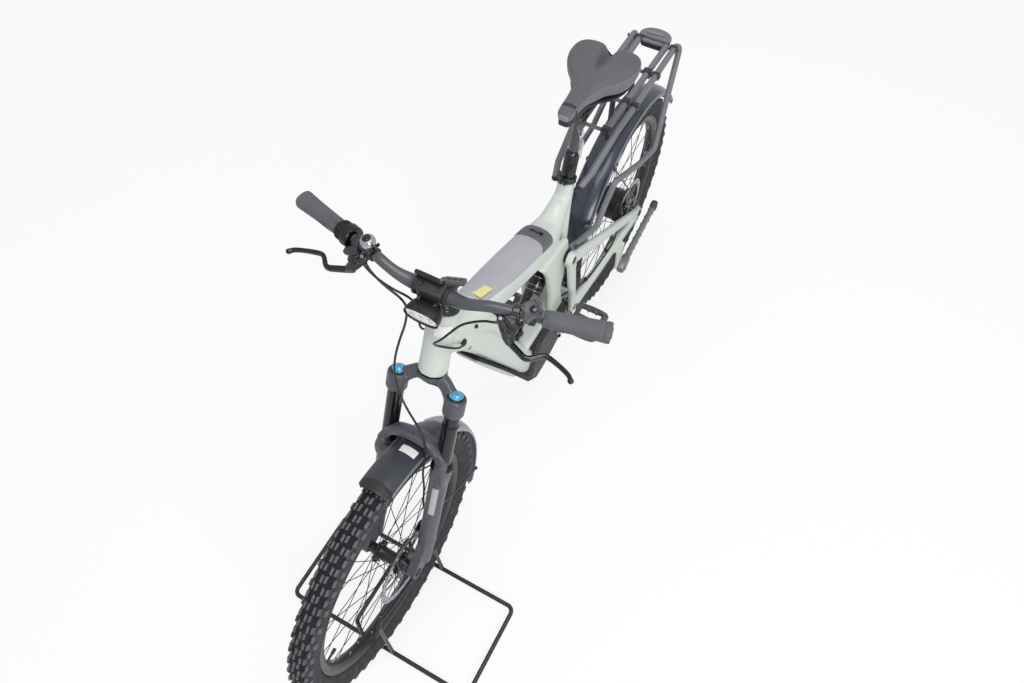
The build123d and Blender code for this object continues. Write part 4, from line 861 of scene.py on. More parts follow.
piece("saddle_nose", loft([ring((x, 0, z), Y, Z, half, height, 3.4, 36) for x, z, half, height in (
    (-0.242, 1.06, 0.0196, 0.016), (-0.232, 1.06, 0.0192, 0.0158), (-0.232, 1.06, 0.017, 0.014))]),
      "saddle_dark", "frame", bevel=0.0006)
nose_front = [ring((x, 0, 1.0595), Y, Z, half, height, 3.4, 36) for x, half, height in (
    (-0.215, 0.016, 0.011), (-0.2082, 0.0125, 0.008), (-0.2066, 0.008, 0.0045))]
piece("saddle_tip", loft(nose_front), "saddle_trim", "frame", bevel=0.001)
base = []
for x, half, foot in smooth_path([(x, h * 0.84, f) for x, h, c, f in SADDLE_STATIONS[1:-2]], 3):
    low = max(min(foot, 1.0265), foot - 0.01)
    base.append(ring((x, 0, (low + foot) / 2 - 0.0005), Y, Z, half, (foot - low) / 2 + 0.004, 5, 32))
piece("saddle_base", loft(base), "black_plastic", "frame", bevel=0.0008)


# rack fittings: clamps on the rails, end plugs, bolts, carrier plate and rear light
solids = []
for side in SIDES:
    for x, y in ((-0.52, 0.0605), (-0.655, 0.062), (-0.782, 0.062)):
        solids.append(lathe((x, side * (y - 0.0105), RACK_Z), Y,
            [(0, 9.8), (1, 10.5), (20, 10.5), (21, 9.8)], 28))
        solids.append(lathe((x, side * (y + 0.0105), RACK_Z), Y * side,
            [(0, 4.8), (2, 4.6), (2, 2.4), (0.6, 0.1)], 18))
    for x, y in ((-0.4, 0.034), (-0.52, 0.0355), (-0.655, 0.0375)):
        solids.append(block((x, side * y, RACK_Z), X, Y, Z, (18, 21.5, 20)))
    solids.append(lathe((-0.262, side * 0.035, 0.812), unit((0.9, -side * 0.2, 0.42)), [
        (-2, 9.2), (2, 9.2), (4.5, 6.5), (4.5, 0.1)], 24))
    solids.append(block((-0.272, side * 0.03, 0.812), X, Y, Z, (22, 14, 16)))
    solids.append(tube([(-0.272, side * 0.03, 0.812), (-0.262, side * 0.022, 0.792)], 0.0055, 14))
    solids.append(lathe((-0.214, side * 0.0565, 0.64), Y * side,
        [(0, 10), (4, 10), (5.5, 8), (5.5, 4), (2, 0.1)], 22))
piece("rack_fittings", solids, "black_metal", "frame", bevel=0.0011)
curve = [(0.046 * cos(radians(a)), -0.0035 - 0.04 * sin(radians(a)) ** 0.8) for a in range(8, 173, 9)]
outline = [(0.0458, 0.0)] + curve + [(-0.0458, 0.0)]
piece("carrier_plate", [prism(outline, (-0.7895, 0, RACK_Z + 0.001), Y, X, -0.0088),
    prism([(y * 0.82, x * 0.78 - 0.004) for y, x in outline], (-0.7895, 0, RACK_Z - 0.006), Y, X, -0.004),
    loft([ring((-0.796, 0, RACK_Z + 0.0015), Y, Z, 0.04, 0.0065, 4, 32),
    ring((-0.79, 0, RACK_Z + 0.0015), Y, Z, 0.042, 0.0075, 4, 32)])], "rack_grey", "frame", "rear_light",
    bevel=0.0016)
# silver patch laid where glare falls on the plate's top: a painted highlight
piece("carrier_painted_glare", prism([(-0.026, -0.01), (0.022, -0.014), (0.025, -0.02), (-0.004, -0.0235),
    (-0.026, -0.019)], (-0.7895, 0, RACK_Z + 0.0102), Y, X, -0.0022), "silver_screw", "frame", bevel=0.0004)
LAMP_Z = RACK_Z - 0.022


def rear_lamp(stations):
    """Skin of the rear light, from (x, half width, half height) at each station."""
    return skin(Y, Z, 5, 36, [((x, 0, LAMP_Z), a, b) for x, a, b in stations])


piece("rear_lamp_body", rear_lamp([(-0.796, 0.0395, 0.0105), (-0.8165, 0.041, 0.012)]), "lamp_black",
    "frame", bevel=0.0015)
look("lens_red", "lamp_plastic", (150, 14, 18), 0.14, 0.12, (700, 50), coat=1.0, coat_rough=0.04,
    cloud_scale=60)
piece("rear_lamp_lens", [rear_lamp([(-0.816, 0.0385, 0.01), (-0.8195, 0.0375, 0.0092),
    (-0.821, 0.034, 0.007)])] + [block((-0.8212, -0.03 + 0.0075 * k, LAMP_Z), X, Y, Z, (1.2, 1.6, 13.5))
    for k in range(9)], "lens_red", "frame", bevel=0.0004)


GUARD_CROWN = 0.0125  # fall from the middle to the edge
BLADE_STEP = 3.0  # degrees


def blade_section(hub_x, radius, half, angle):
    """Cross-section of a mudguard: a crowned skin with rolled edges, at an angle round the hub."""
    out = heading(angle)
    centre = vec(hub_x, 0, TYRE_RADIUS)
    count = 18
    upper, lower = [], []
    for k in range(count + 1):
        t = -1 + 2 * k / count
        y = half * t
        fall = GUARD_CROWN * (abs(t) ** 2.2)
        edge = 0.002 if abs(t) > 0.93 else 0.0
        upper.append(centre + out * (radius + 0.0022 - fall - edge * 0.4) + Y * y)
        lower.append(centre + out * (radius - fall - 0.0004 - edge) + Y * y * (1 - 0.02 * (abs(t) > 0.93)))
    return upper + lower[::-1]


def blade(hub_x, radius, half, start, end, taper=0.06):
    """Mudguard blade between two angles, rounded a little at both ends."""
    count = max(int((end - start) / BLADE_STEP), 4)
    rings = []
    for k in range(count + 1):
        t = k / count
        edge = min(t, 1 - t) / taper
        width = half * (0.8 + 0.2 * sqrt(1 - (1 - min(edge, 1)) ** 2)) if edge < 1 else half
        rings.append(blade_section(hub_x, radius, width, start + (end - start) * t))
    return loft(rings)


REAR_GUARD_RADIUS = 0.384
STAY_R = 0.0021
piece("rear_guard_blade", blade(REAR_X, REAR_GUARD_RADIUS, 0.0398, 18, 152, taper=0.035), "guard_navy",
    "frame", "rear_mudguard", sharp=50)
solids = []
for side in SIDES:
    rim = [round_hub(REAR_X, side * 0.0392, 0.37, radians(a)) for a in range(22, 150, 2)]
    solids.append(tube(rim, 0.006, 12, flat=0.3, power=4, up=Y))
piece("rear_guard_rims", solids, "guard_edge", "frame", bevel=0.0003)
solids = []
for side in SIDES:
    for angle in (62, 128):
        out = heading(angle)
        tip = vec(REAR_X, side * 0.0425, TYRE_RADIUS) + out * 0.37
        foot = vec(REAR_X + 0.006 * cos(radians(angle)), side * 0.092, TYRE_RADIUS + 0.03)
        solids.append(tube([foot, foot.lerp(tip, 0.5), tip], STAY_R, 10))
        solids.append(lathe(tip + Y * side * 0.0025, -Y * side, [(0, 3.5), (1, 5), (6, 5)], 16))
        solids.append(block(tip - out * 0.004 - Y * side * 0.0015, out, Y, out.cross(Y), (20, 3.5, 11)))
for x in (-0.655, -0.52):
    solids.append(block((x, 0, (0.738 + RACK_Z) / 2), X, Y, Z, (6, 14, 1000 * (RACK_Z - 0.738) - 8)))
    solids.append(lathe((x - 0.005, 0, 0.86), X, [(0, 4), (10, 4)], 16))
piece("rear_guard_stays", solids, "black_metal", "frame", bevel=0.0004)


# ---- Fork, with the front mudguard ----
solids = []
for side in SIDES:
    leg = side * LEG_Y
    solids.append(lathe(steer(CROWN_S - 0.046, LEG_N, leg), STEER_UP, [
        (0, 21.5), (4, 24.2), (40, 24.2), (46, 22.5)], 40))
    arm = smooth_path([steer(CROWN_S - 0.022, LEG_N, leg), steer(CROWN_S - 0.002, 0.01, side * 0.052),
        steer(CROWN_S + 0.012, 0.003, side * 0.03), steer(CROWN_S + 0.014, 0, 0)], 5)
    solids.append(tube(arm, [0.0215 - 0.006 * sin(pi * min(k / (len(arm) - 1), 1))
        for k in range(len(arm))], 24, flat=0.8, power=2.8, up=STEER_FWD))
solids.append(lathe(steer(HEAD_BOTTOM_S - 0.02), STEER_UP, [(0, 25.5), (6, 30.5), (18.5, 31.2)], 40))
piece("crown_forging", solids, "fork_blue_grey", "steering", "fork_crown", voxel=0.0021, relax=9)
piece("crown_race", lathe(steer(HEAD_BOTTOM_S - 0.0025), STEER_UP, [(0, 32.2), (1.8, 32.2)], 44),
      "gloss_black", "steering")
dials, collars, marks = [], [], []
for side in SIDES:
    top = steer(CROWN_S, LEG_N, side * LEG_Y)
    collars.append(lathe(top, STEER_UP, [(-1, 19.2), (3, 19), (4.4, 17.6), (4.4, 15)], 40))
    dials.append(lathe(top, STEER_UP, [(2, 15.8), (5, 15.6), (6.2, 14.8), (6.2, 10.5), (9.2, 9.8),
        (9.8, 8.8), (9.8, 0.1)], 40))
    for k in range(20):
        angle = 2 * pi * k / 20
        spot = top + STEER_UP * 0.0052 + (STEER_FWD * cos(angle) + Y * sin(angle)) * 0.0152
        dials.append(lathe(spot, STEER_UP, [(-3, 1.1), (0.6, 1), (1, 0.5)], 8))
    marks.append(block(top + STEER_UP * 0.0096, unit(STEER_FWD + Y * 0.8), unit(Y - STEER_FWD * 0.8),
        STEER_UP, (15, 3.2, 1.6)))
piece("dial_rings", collars, "gloss_black", "steering", bevel=0.0003)
piece("dials", dials, "anodised_blue", "steering", "fork_caps", bevel=0.0002)
piece("dial_marks", marks, "silver_screw", "steering", bevel=0.0005)
left_ring = steer(0.452, LEG_N, LEG_Y)
piece("travel_ring", [lathe(left_ring, STEER_UP, [(0, 18.2), (0.6, 19.4), (2.6, 19.4), (3.2, 18.2)], 36),
    block(left_ring - Y * 0.006 + STEER_FWD * 0.0205, Y, STEER_UP, STEER_FWD, (5, 4.5, 4))], "rubber",
    "steering", bevel=0.0003)
solids = []
for side in SIDES:
    solids.append(lathe(steer(SEAL_S - 0.001, LEG_N, side * LEG_Y), STEER_UP, [
        (0, 26.2), (3, 25.5), (6.5, 22.2), (8.5, 19.6), (8.5, 18.2)], 40))
piece("fork_seals", solids, "fork_seal", "steering")

solids = []
for side in SIDES:
    leg = side * LEG_Y
    solids.append(turned(steer(0.006, LEG_N, leg), STEER_UP,
        [(0, 0.0155), (0.006, 0.019), (0.03, 0.0204), (0.075, 0.0206), (0.078, 0.022), (0.086, 0.022),
        (0.089, 0.0206), (0.17, 0.0212), (0.27, 0.0222), (0.3, 0.0246), (SEAL_S - 0.006, 0.0258)], 40))
    inner, outer = 0.056, 0.082  # faces of the dropout
    solids.append(prism([(LEG_N - 0.012, 0.06), (LEG_N + 0.02, 0.074), (FORK_RAKE + 0.017, 0.008),
        (FORK_RAKE + 0.012, -0.014), (FORK_RAKE, -0.018), (LEG_N + 0.006, -0.006), (LEG_N - 0.012, 0.02)],
        steer(0, 0, side * inner if side == -1 else side * outer), STEER_FWD, STEER_UP, outer - inner))
    solids.append(lathe(steer(0, FORK_RAKE, side * 0.0555), Y * side, [(0, 18.5), (26.5, 18.5)], 36))
    # root of the arch, hooked forward off the leg
    solids.append(tube(smooth_path([steer(0.292, 0.022, side * 0.08), steer(0.318, 0.03, side * 0.08),
        steer(0.346, 0.032, side * 0.072)], 5), 0.0135, 20, flat=1.1, power=3, up=STEER_FWD))
ARCH = [(0.322, 0.03, 0.079), (0.352, 0.031, 0.073), (0.379, 0.03, 0.053), (0.39, 0.03, 0.022)]
arch_line = smooth_path([steer(*p) for p in ARCH] + [steer(s, n, -y) for s, n, y in ARCH[::-1]], 5)
solids.append(tube(arch_line, 0.0115, 24, flat=0.95, power=6, up=STEER_FWD))
solids.append(tube(arch_line[8:-8], 0.0095, 20, flat=1.9, power=5, up=STEER_FWD))
piece("lowers_casting", solids, "fork_blue_grey", "steering", "fork_lowers", voxel=0.0022, relax=3)
piece("arch_knob", lathe(steer(0.398, 0.036, -0.004), unit(STEER_FWD + STEER_UP * 0.6),
    [(-4, 7.2), (6, 7), (8.5, 5.8), (8.5, 3), (6, 0.1)], 24), "grey_plastic", "steering", bevel=0.0004)
solids = []
for side in SIDES:
    solids.append(lathe(steer(0.0075, LEG_N, side * LEG_Y), -STEER_UP, [
        (0, 13.5), (4, 13.5), (5.5, 12), (9.5, 9.5), (11, 7.5), (11, 0.1)], 28))
    solids.append(lathe(steer(0, FORK_RAKE, side * 0.0822), Y * side, [
        (-1, 11.5), (2.2, 11.5), (3.4, 10), (3.4, 5.8), (1, 5.4), (1, 0.1)], 28))
piece("fork_feet", solids, "black_metal", "steering", "front_axle", bevel=0.0003)
piece("axle_rod", crossbar(vec(FRONT_X, 0, TYRE_RADIUS), -0.08, 0.08, 0.0074), "black_metal", "steering")
look("reflector_grey", "cover_plastic", (176, 178, 182), 0.32, 0.06, (900, 50), coat=0.5, coat_rough=0.15,
    cloud_scale=40)
for side in SIDES:
    facing = unit(STEER_FWD * 0.85 + Y * 0.22 * side)
    sheet_patch(f"leg_strip_{side}", steer(0.232, LEG_N, side * LEG_Y) + facing * 0.022, STEER_UP,
        STEER_UP.cross(facing) * -1, (0.084, 0.015), 0.0005, "reflector_grey", "steering",
        lambda a, b: -(b * b) / 0.0436)

FRONT_GUARD = 0.372
piece("front_guard_blade", blade(FRONT_X, FRONT_GUARD, 0.0378, 94, 136, taper=0.03), "guard_satin",
    "steering", "front_mudguard", sharp=50)
# the front guard's rear part takes the pale lavender look: painted reflection of the sky on its glossy skin
piece("front_guard_tail", blade(FRONT_X, FRONT_GUARD - 0.0006, 0.0378, 134, 209, taper=0.04), "guard_painted_reflection",
    "steering", sharp=50)
flange, dots = [], []
for side in SIDES:
    rim_line = []
    for k in range(19):
        angle = radians(96 + 2.0 * k)
        rim_line.append(round_hub(FRONT_X, side * 0.0386, 0.356, angle))
    flange.append(tube(rim_line, 0.0058, 12, flat=0.22, power=4, up=Y))
    for k in range(1, 19, 2):
        dots.append(lathe(rim_line[k] + Y * side * 0.0008, Y * side, [(0, 1.6), (0.9, 1.5)], 10))
piece("guard_flange", flange, "guard_edge", "steering", bevel=0.0003)
piece("flange_dots", dots, "gloss_black", "steering")
lip_out = heading(94.6)
lip = [vec(FRONT_X, 0, TYRE_RADIUS) + lip_out * (FRONT_GUARD + 0.002 - 0.0105 * abs(t) ** 2.2)
    + Y * 0.036 * t for t in [-1 + k / 8 for k in range(17)]]
piece("guard_lip", [tube(lip, 0.0022, 10), blade(FRONT_X, FRONT_GUARD + 0.001, 0.0388, 93.6, 97.6)],
    "black_plastic", "steering")
label_out = heading(113)
label_run = vec(label_out.z, 0, -label_out.x)
sheet_patch("guard_label", vec(FRONT_X, 0.003, TYRE_RADIUS) + label_out * (FRONT_GUARD + 0.0024), label_run,
    label_out.cross(label_run), (0.022, 0.05), 0.0004, "sticker", "steering",
    lambda a, b: -GUARD_CROWN * (abs(b) / 0.0378) ** 2.2 - a * a / 0.75)
solids = []
for side in SIDES:
    tip = round_hub(FRONT_X, side * 0.0405, 0.36, radians(198))
    foot = steer(0.15, LEG_N - 0.02, side * 0.06)
    solids.append(tube(smooth_path([foot, foot.lerp(tip, 0.33) + Y * side * 0.006,
        foot.lerp(tip, 0.7) + Y * side * 0.004, tip], 6), STAY_R, 10))
    solids.append(lathe(tip - Y * side * 0.003, Y * side, [(0, 5), (5, 5), (6, 3.5)], 16))
    solids.append(lathe(foot, STEER_FWD, [(-4, 4.5), (4, 4.5)], 16))
for k in (-1, 1):
    solids.append(lathe(steer(0.392, 0.0235, k * 0.017), STEER_FWD, [(-12, 4), (0, 4)], 16))
piece("guard_stays", solids, "black_metal", "steering", bevel=0.0003)


DISC_RADIUS = 0.101
DISC_HALF = 0.0009  # half its thickness
PISTON_SPREAD = 0.0195  # half the way between the bridge bolts


def caliper(name, node, hub_x, angle, mount_y, body):
    """Two-piston caliper over a rotor: body halves, bridge, bolts, pad pin and banjo."""
    reach = heading(angle)
    run = reach.cross(Y)
    hub = vec(hub_x, ROTOR_Y, TYRE_RADIUS)
    halves = []
    for shift, half in ((0.0115, 0.004), (-0.0078, 0.0036)):
        centre = hub + reach * DISC_RADIUS + Y * shift
        halves.append(skin(reach, run, 3, 32, [(centre + Y * half * t, 0.0185 - d, 0.0285 - d * 4 / 3)
            for t, d in ((-1, 0.003), (-0.4, 0), (0.4, 0), (1, 0.003))]))
    halves.append(block(hub + reach * 0.1155 + Y * 0.002, reach, Y, run, (8.5, 19, 48)))
    halves.append(block(hub + reach * 0.097 + Y * (mount_y - ROTOR_Y), reach, Y, run, (14.5, 12, 74)))
    piece(name, halves, "black_metal", body, node, bevel=0.0022)
    solids = []
    for along in (-1, 1):
        solids.append(lathe(hub + reach * 0.106 + run * along * 0.031 + Y * (mount_y - ROTOR_Y), reach, [
            (-1, 5.8), (5.2, 5.6), (6.2, 4.8), (6.2, 2.6), (3, 0.1)], 20))
        solids.append(lathe(hub + reach * DISC_RADIUS + run * along * PISTON_SPREAD + Y * 0.0155, Y, [
            (-1, 4.2), (1.4, 4), (1.4, 2.1), (0.2, 0.1)], 18))
    solids.append(lathe(hub + reach * DISC_RADIUS + Y * 0.015, Y, [
        (-1, 12.2), (1.2, 12), (2.2, 10.8), (2.2, 8.5), (0.8, 8), (0.8, 0.1)], 32))
    piece(f"{name}_fixings", solids, "silver_screw", body, bevel=0.0002)


caliper("front_caliper_body", "front_caliper", FRONT_X, 155, 0.056, "steering")
caliper("rear_caliper_body", "rear_caliper", REAR_X, 35, ROTOR_Y + 0.022, "frame")


# ---- Stem, handlebar and controls ----
def bar_centre(y):
    """Centre of the handlebar anywhere: level in the clamp, then rising to its outer part."""
    t = min(max((abs(y) - 0.04) / 0.085, 0), 1)
    return (CLAMP + Y * y).lerp(bar_at(y), t * t * (3 - 2 * t))


def bar_line(y0, y1, count):
    return [bar_centre(y0 + (y1 - y0) * k / (count - 1)) for k in range(count)]


def bar_radius(y):
    """The bar swells from its ends to the clamp."""
    t = (abs(y) - 0.028) / 0.064
    if t < 0:
        return BAR_CLAMP_R
    if t > 1:
        return BAR_R
    return BAR_CLAMP_R + (BAR_R - BAR_CLAMP_R) * (0.35 * t + 0.65 * (3 * t * t - 2 * t ** 3))


bar_points = bar_line(-BAR_END_Y, BAR_END_Y, 97)
piece("bar_tube", tube(bar_points, [bar_radius(p.y) for p in bar_points], 28), "bar_black", "steering",
    "handlebar")
piece("bar_marks", [tube(bar_line(side * a, side * (a + 0.0012), 3), bar_radius(a) + 0.0002, 28)
    for side in SIDES for a in (0.04, 0.046)], "grey_plastic", "steering")

stem_foot = steer(HEAD_TOP_S + 0.042)
stem_rise = CLAMP - stem_foot
stem_way = stem_rise.normalized()
stem_flat = stem_way.cross(Y)
solids = [
    lathe(steer(HEAD_TOP_S + 0.0245), STEER_UP, [(0, 19), (3, 20.3), (34, 20.3), (37, 19)], 40),
    loft([ring(stem_foot + stem_rise * t, Y, stem_flat, w, h, 3, 32) for t, w, h in (
        (0.02, 0.0195, 0.018), (0.3, 0.019, 0.0172), (0.7, 0.0212, 0.0168), (0.9, 0.024, 0.0178))]),
    skin(STEER_FWD, STEER_UP, 2.6, 32, [(CLAMP + Y * y, 0.0195, 0.0212) for y in (-0.0265, 0.0265)]),
]
piece("stem_body", solids, "black_metal", "steering", "stem", voxel=0.0018, relax=3)
piece("stem_gap", block(CLAMP + STEER_FWD * 0.0035, STEER_UP, Y, STEER_FWD, (44, 54.5, 1.4)), "rubber",
      "steering")
solids = []
for side in SIDES:
    for up in (-1, 1):
        solids.append(lathe(CLAMP + Y * side * 0.018 + STEER_UP * up * 0.0165 + STEER_FWD * 0.0175,
            STEER_FWD, [(-2, 4.3), (2.6, 4.2), (3.4, 3.4), (3.4, 2), (1, 0.1)], 18))
for up in (-0.01, 0.01):
    solids.append(lathe(steer(HEAD_TOP_S + 0.043 + up, -0.014, 0.015), Y, [
        (-3, 4.2), (2.2, 4), (2.2, 2), (0.5, 0.1)], 18))
piece("stem_bolts", solids, "black_metal", "steering", bevel=0.0002)
piece("stem_cone", turned(steer(HEAD_TOP_S), STEER_UP,
    [(0.0008, HEAD_R - 0.0006), (0.004, HEAD_R - 0.0002), (0.009, HEAD_R - 0.003), (0.0215, 0.0243),
    (0.0242, 0.0222)], 48), "black_plastic", "steering")
piece("cone_lines", [turned(steer(HEAD_TOP_S + s), STEER_UP, [(0, r), (0.0011, r - 0.0003)], 48)
    for s, r in ((0.01, HEAD_R - 0.003), (0.016, 0.0268))], "gloss_black", "steering")
piece("stem_cap", [lathe(steer(HEAD_TOP_S + 0.0555), STEER_UP, [
    (0, 19.2), (3, 19), (5.6, 17.2), (6, 5.8), (4.2, 5.2), (4.2, 0.1)], 36)],
      "black_metal", "steering", bevel=0.0004)

# grips: a body that swells outward, an outer band and an inner lock ring
GRIP = [(0.2245, 0.0152, 0.0156), (0.232, 0.0157, 0.0163), (0.256, 0.016, 0.0168), (0.285, 0.0164, 0.0175),
        (0.312, 0.0169, 0.0188), (0.3268, 0.0172, 0.0196)]  # y, half depth, half width


def bar_frame(side):
    """Directions at the handlebar's outer part: outwards, forward and out x forward."""
    out = bar_out(side)
    forward = square_to(out)
    return out, forward, out.cross(forward)


bodies, bands, ribs = [], [], []
for side in SIDES:
    out, forward, above = bar_frame(side)
    bodies.append(skin(forward, above, 2.5, 40, [(bar_at(side * y), wide, deep) for y, deep, wide in GRIP]))
    centre = bar_at(side * 0.3268)
    end = bar_at(side * 0.3385)
    band = [(centre.lerp(end, t), wide, deep, power) for t, wide, deep, power in ((0, 0.019, 0.0166, 2.5),
        (0.1, 0.02, 0.0175, 2.5), (0.82, 0.0199, 0.0174, 2.5), (1, 0.0184, 0.0158, 2.5),
        (1, 0.012, 0.01, 2.3))] + [(end - out * 0.0012, 0.011, 0.0092, 2.3)]
    bands.append(loft([ring(place, forward, above, wide, deep, power, 40)
        for place, wide, deep, power in band]))
    lock = bar_at(side * 0.2185)
    bands.append(lathe(lock, out, [(0, 15.8), (1, 16.8), (5.5, 16.8), (6.5, 15.6)], 36))
    for k in range(6):
        y = side * (0.2345 + 0.0052 * k)
        skew = 1.6
        line = []
        for j in range(15):
            angle = radians(-30 + 120 * j / 14)
            centre = bar_at(y + side * 0.01 * skew * cos(angle * 1.5))
            line.append(centre + forward * 0.01715 * cos(angle) + above * 0.01625 * sin(angle))
        ribs.append(tube(line, 0.0009, 8))
piece("grip_bodies", bodies, "grip_rubber", "steering", "grips", bevel=0.0008, sharp=50)
piece("grip_bands", bands, "grip_rubber", "steering", bevel=0.0005)
piece("grip_ribs", ribs, "grip_rubber", "steering")

# twist shifter, right
out, forward, below = bar_frame(-1)
above = -below
shifter_start = bar_at(-0.185)
piece("shifter_drum", [lathe(shifter_start, out, [(0, 19.5), (2, 23.2), (18.5, 24.2), (20.5, 22.6)], 44),
    loft([ring(shifter_start + out * t + above * lift, forward, above, w, h, 2.6, 32)
    for t, lift, w, h in ((0.001, 0.006, 0.014, 0.017), (0.004, 0.008, 0.0175, 0.0195),
    (0.018, 0.007, 0.017, 0.0185), (0.0208, 0.005, 0.014, 0.016))])], "gloss_black", "steering",
    "twist_shifter", bevel=0.0006)
solids = [lathe(shifter_start + out * 0.0208, out, [(0, 20.5), (2, 21.4), (16.5, 20.5), (18.5, 19)], 44)]
for k in range(26):
    angle = 2 * pi * k / 26
    spoke = forward * cos(angle) + above * sin(angle)
    solids.append(rod(shifter_start + out * 0.0235 + spoke * 0.0205,
        shifter_start + out * 0.0365 + spoke * 0.02, 0.0012, 8))
piece("shifter_sleeve", solids, "rubber", "steering")
piece("shifter_window", block(shifter_start + out * 0.01 + above * 0.0262 + forward * 0.001, out, forward,
    above, (8.5, 14, 1.8)), "screen", "steering", bevel=0.0007)

# brake levers
bodies, blades, screws, fittings = [], [], [], []
for side in SIDES:
    hub = bar_at(side * 0.153)
    out = bar_out(side)

    def control(x, y, z):
        return hub + vec(x, side * y, z) / 1000

    def controls(*places):
        return [control(*place) for place in places]

    bodies.append(lathe(hub + out * 0.0105, out, [(0, 15), (1, 16.5), (14, 16.5), (15, 15)], 36))
    bodies.append(tube(controls((6, 18, -6), (14, 19, -17), (24, 21, -29)), [0.0125, 0.0128, 0.0105], 24))
    bodies.append(tube(controls((10, -10, -9), (14, -4, -13), (22, 8, -24), (31, 20, -36), (35, 26, -41),
        (37, 30, -43)), [0.006, 0.0092, 0.0108, 0.0108, 0.0088, 0.006], 28, flat=0.92, power=2.8))
    bodies.append(tube(controls((13, 8, 2), (18, 22, -3), (20, 36, -9)), [0.007, 0.01, 0.007], 24, flat=0.9,
        power=3.2))
    bodies.append(tube(controls((26, 8, -24), (33, 17, -33), (38, 25, -38)), [0.0066, 0.0088, 0.006], 20))
    lever_line = smooth_path(controls((31, 15, -40), (35, 25, -43), (44, 48, -44.5), (49, 62, -45),
        (46, 72, -45), (32, 86, -45), (28, 96, -45), (31, 112, -45), (38, 134, -45), (45, 149, -45),
        (52, 156, -45)), 5)
    count = len(lever_line)
    widths = [0.0062 - 0.002 * min(1, 1.3 * k / count) for k in range(count)]
    blades.append(tube(lever_line, widths, 16, flat=1.3, power=2.6, up=Z))
    ball = control(53, 157, -45)
    tip_way = unit((0.5, side, 0))
    blades.append(lathe(ball - tip_way * 0.006, tip_way,
        [(0, 3), (1.5, 4.6), (4, 5.6), (7, 5.8), (9.6, 4.6), (11, 2.4), (11.2, 0.1)], 20))
    screws.append(lathe(control(33, 22, -32), unit((0.1, 0, 1)),
        [(-16, 4.2), (2, 4.2), (3, 3.4), (3, 1.8), (1, 0.1)], 18))
    screws.append(lathe(control(19, -3, -4), unit((0.3, 0, 1)),
        [(-6, 3.8), (2, 3.8), (2.6, 3), (2.6, 1.6), (1, 0.1)], 18))
    fittings.append(lathe(control(10, -11, -7), unit((0.15, -side, 0.1)), [
        (-3, 6), (4, 6), (5, 4.5), (10, 3.8), (11, 3)], 20))
    fittings.append(lathe(control(27, 8, -19), unit((0.3, 0, 1)), [
        (-6, 7), (2.5, 7), (3.8, 5.8), (3.8, 3.4), (2.2, 0.1)], 20))
piece("lever_bodies", bodies, "lever_black", "steering", "brake_levers", voxel=0.0013, relax=3)
piece("lever_blades", blades, "gloss_black", "steering")
piece("lever_screws", screws, "silver_screw", "steering", bevel=0.0002)
piece("lever_fittings", fittings, "gloss_black", "steering", bevel=0.0003)

# remote control, left
wing = bar_at(0.2) + vec(0, 0, 0.02)
wing_up = unit((0.35, 0, 1))
wing_fwd = square_to(wing_up)
outline = [(-28, -15), (-17, -10), (-5, -22), (8, -23), (13, -12), (28, -9), (30, 3), (14, 10), (9, 25),
    (-3, 26), (-9, 12), (-25, 7)]


def wing_shape(grow, height, dish):
    points = []
    for a, b in zip(outline, outline[1:] + outline[:1]):
        for t in (0, 0.33, 0.67):
            x, y = a[0] + (b[0] - a[0]) * t, a[1] + (b[1] - a[1]) * t
            rise = dish * (hypot(x, y) / 30) ** 2
            points.append(wing + wing_fwd * x * grow / 1000 + Y * y * grow / 1000
                + wing_up * (height + rise))
    return points


piece("remote_wings", loft([wing_shape(*station) for station in ((0.8, -0.006, 0), (0.98, -0.0025, 0.001),
    (1.0, 0.001, 0.003), (0.93, 0.0035, 0.004), (0.45, 0.0016, 0.002), (0.1, 0.001, 0))]), "grey_plastic",
    "steering", "remote_control", subdivide=1, sharp=60)
left_out = bar_out(1)
piece("remote_band", [lathe(bar_at(0.193), left_out, [(0, 16), (1, 18.2), (13, 18.2), (14, 16)], 36),
    tube([bar_at(0.2) + Z * 0.01, wing - wing_up * 0.004], 0.0085, 20)], "black_plastic", "steering",
    bevel=0.0005)
solids = [lathe(wing + wing_up * 0.0012, wing_up, [(0, 6.8), (2.4, 6.4), (3, 5), (3, 0.1)], 24)]
for a, b in ((-0.0175, -0.003), (0.019, -0.003), (0.002, 0.0172), (0.003, -0.016)):
    solids.append(lathe(wing + wing_fwd * a + Y * b + wing_up * 0.003, wing_up,
        [(0, 3), (1.4, 2.7), (1.8, 0.1)], 16))
piece("remote_keys", solids, "gloss_black", "steering")

# bell, right: a small polished dome on a tall black body
bell_foot = bar_at(-0.133) + vec(0.001, 0, 0.0088)
bell_axis = unit((0.08, -0.12, 1))
bell_top = bell_foot + bell_axis * 0.0215
piece("bell_dome", lathe(bell_top, bell_axis, [(0, 12.8), (0.6, 14.6), (4, 15.1), (8.5, 15), (12, 13.8),
    (14.6, 11.6), (15.4, 9.2)], 48), "bell_steel", "steering", "bell", bevel=0.0003)
bell_right = bar_out(-1)
piece("bell_mount", [lathe(bell_foot, bell_axis, [(-3, 9), (2, 11.6), (17, 12), (20, 11.2), (21.8, 9.5)],
    36), lathe(bell_top, bell_axis, [(12.5, 8.8), (15.8, 9), (16.4, 8), (16, 5), (17.2, 3), (17.4, 0.1)],
    32), turned(bar_at(-0.1252), bell_right, [(0, BAR_R + 0.0022), (0.001, BAR_R + 0.0034),
    (0.009, BAR_R + 0.0034), (0.01, BAR_R + 0.0022)], 36),
    tube([bell_foot + bell_axis * 0.008, bell_foot + vec(-0.008, 0.008, 0.01),
    bell_foot + vec(-0.012, 0.01, 0.013)], [0.0034, 0.0036, 0.0046], 14, flat=0.6)], "gloss_black",
    "steering", bevel=0.0004)

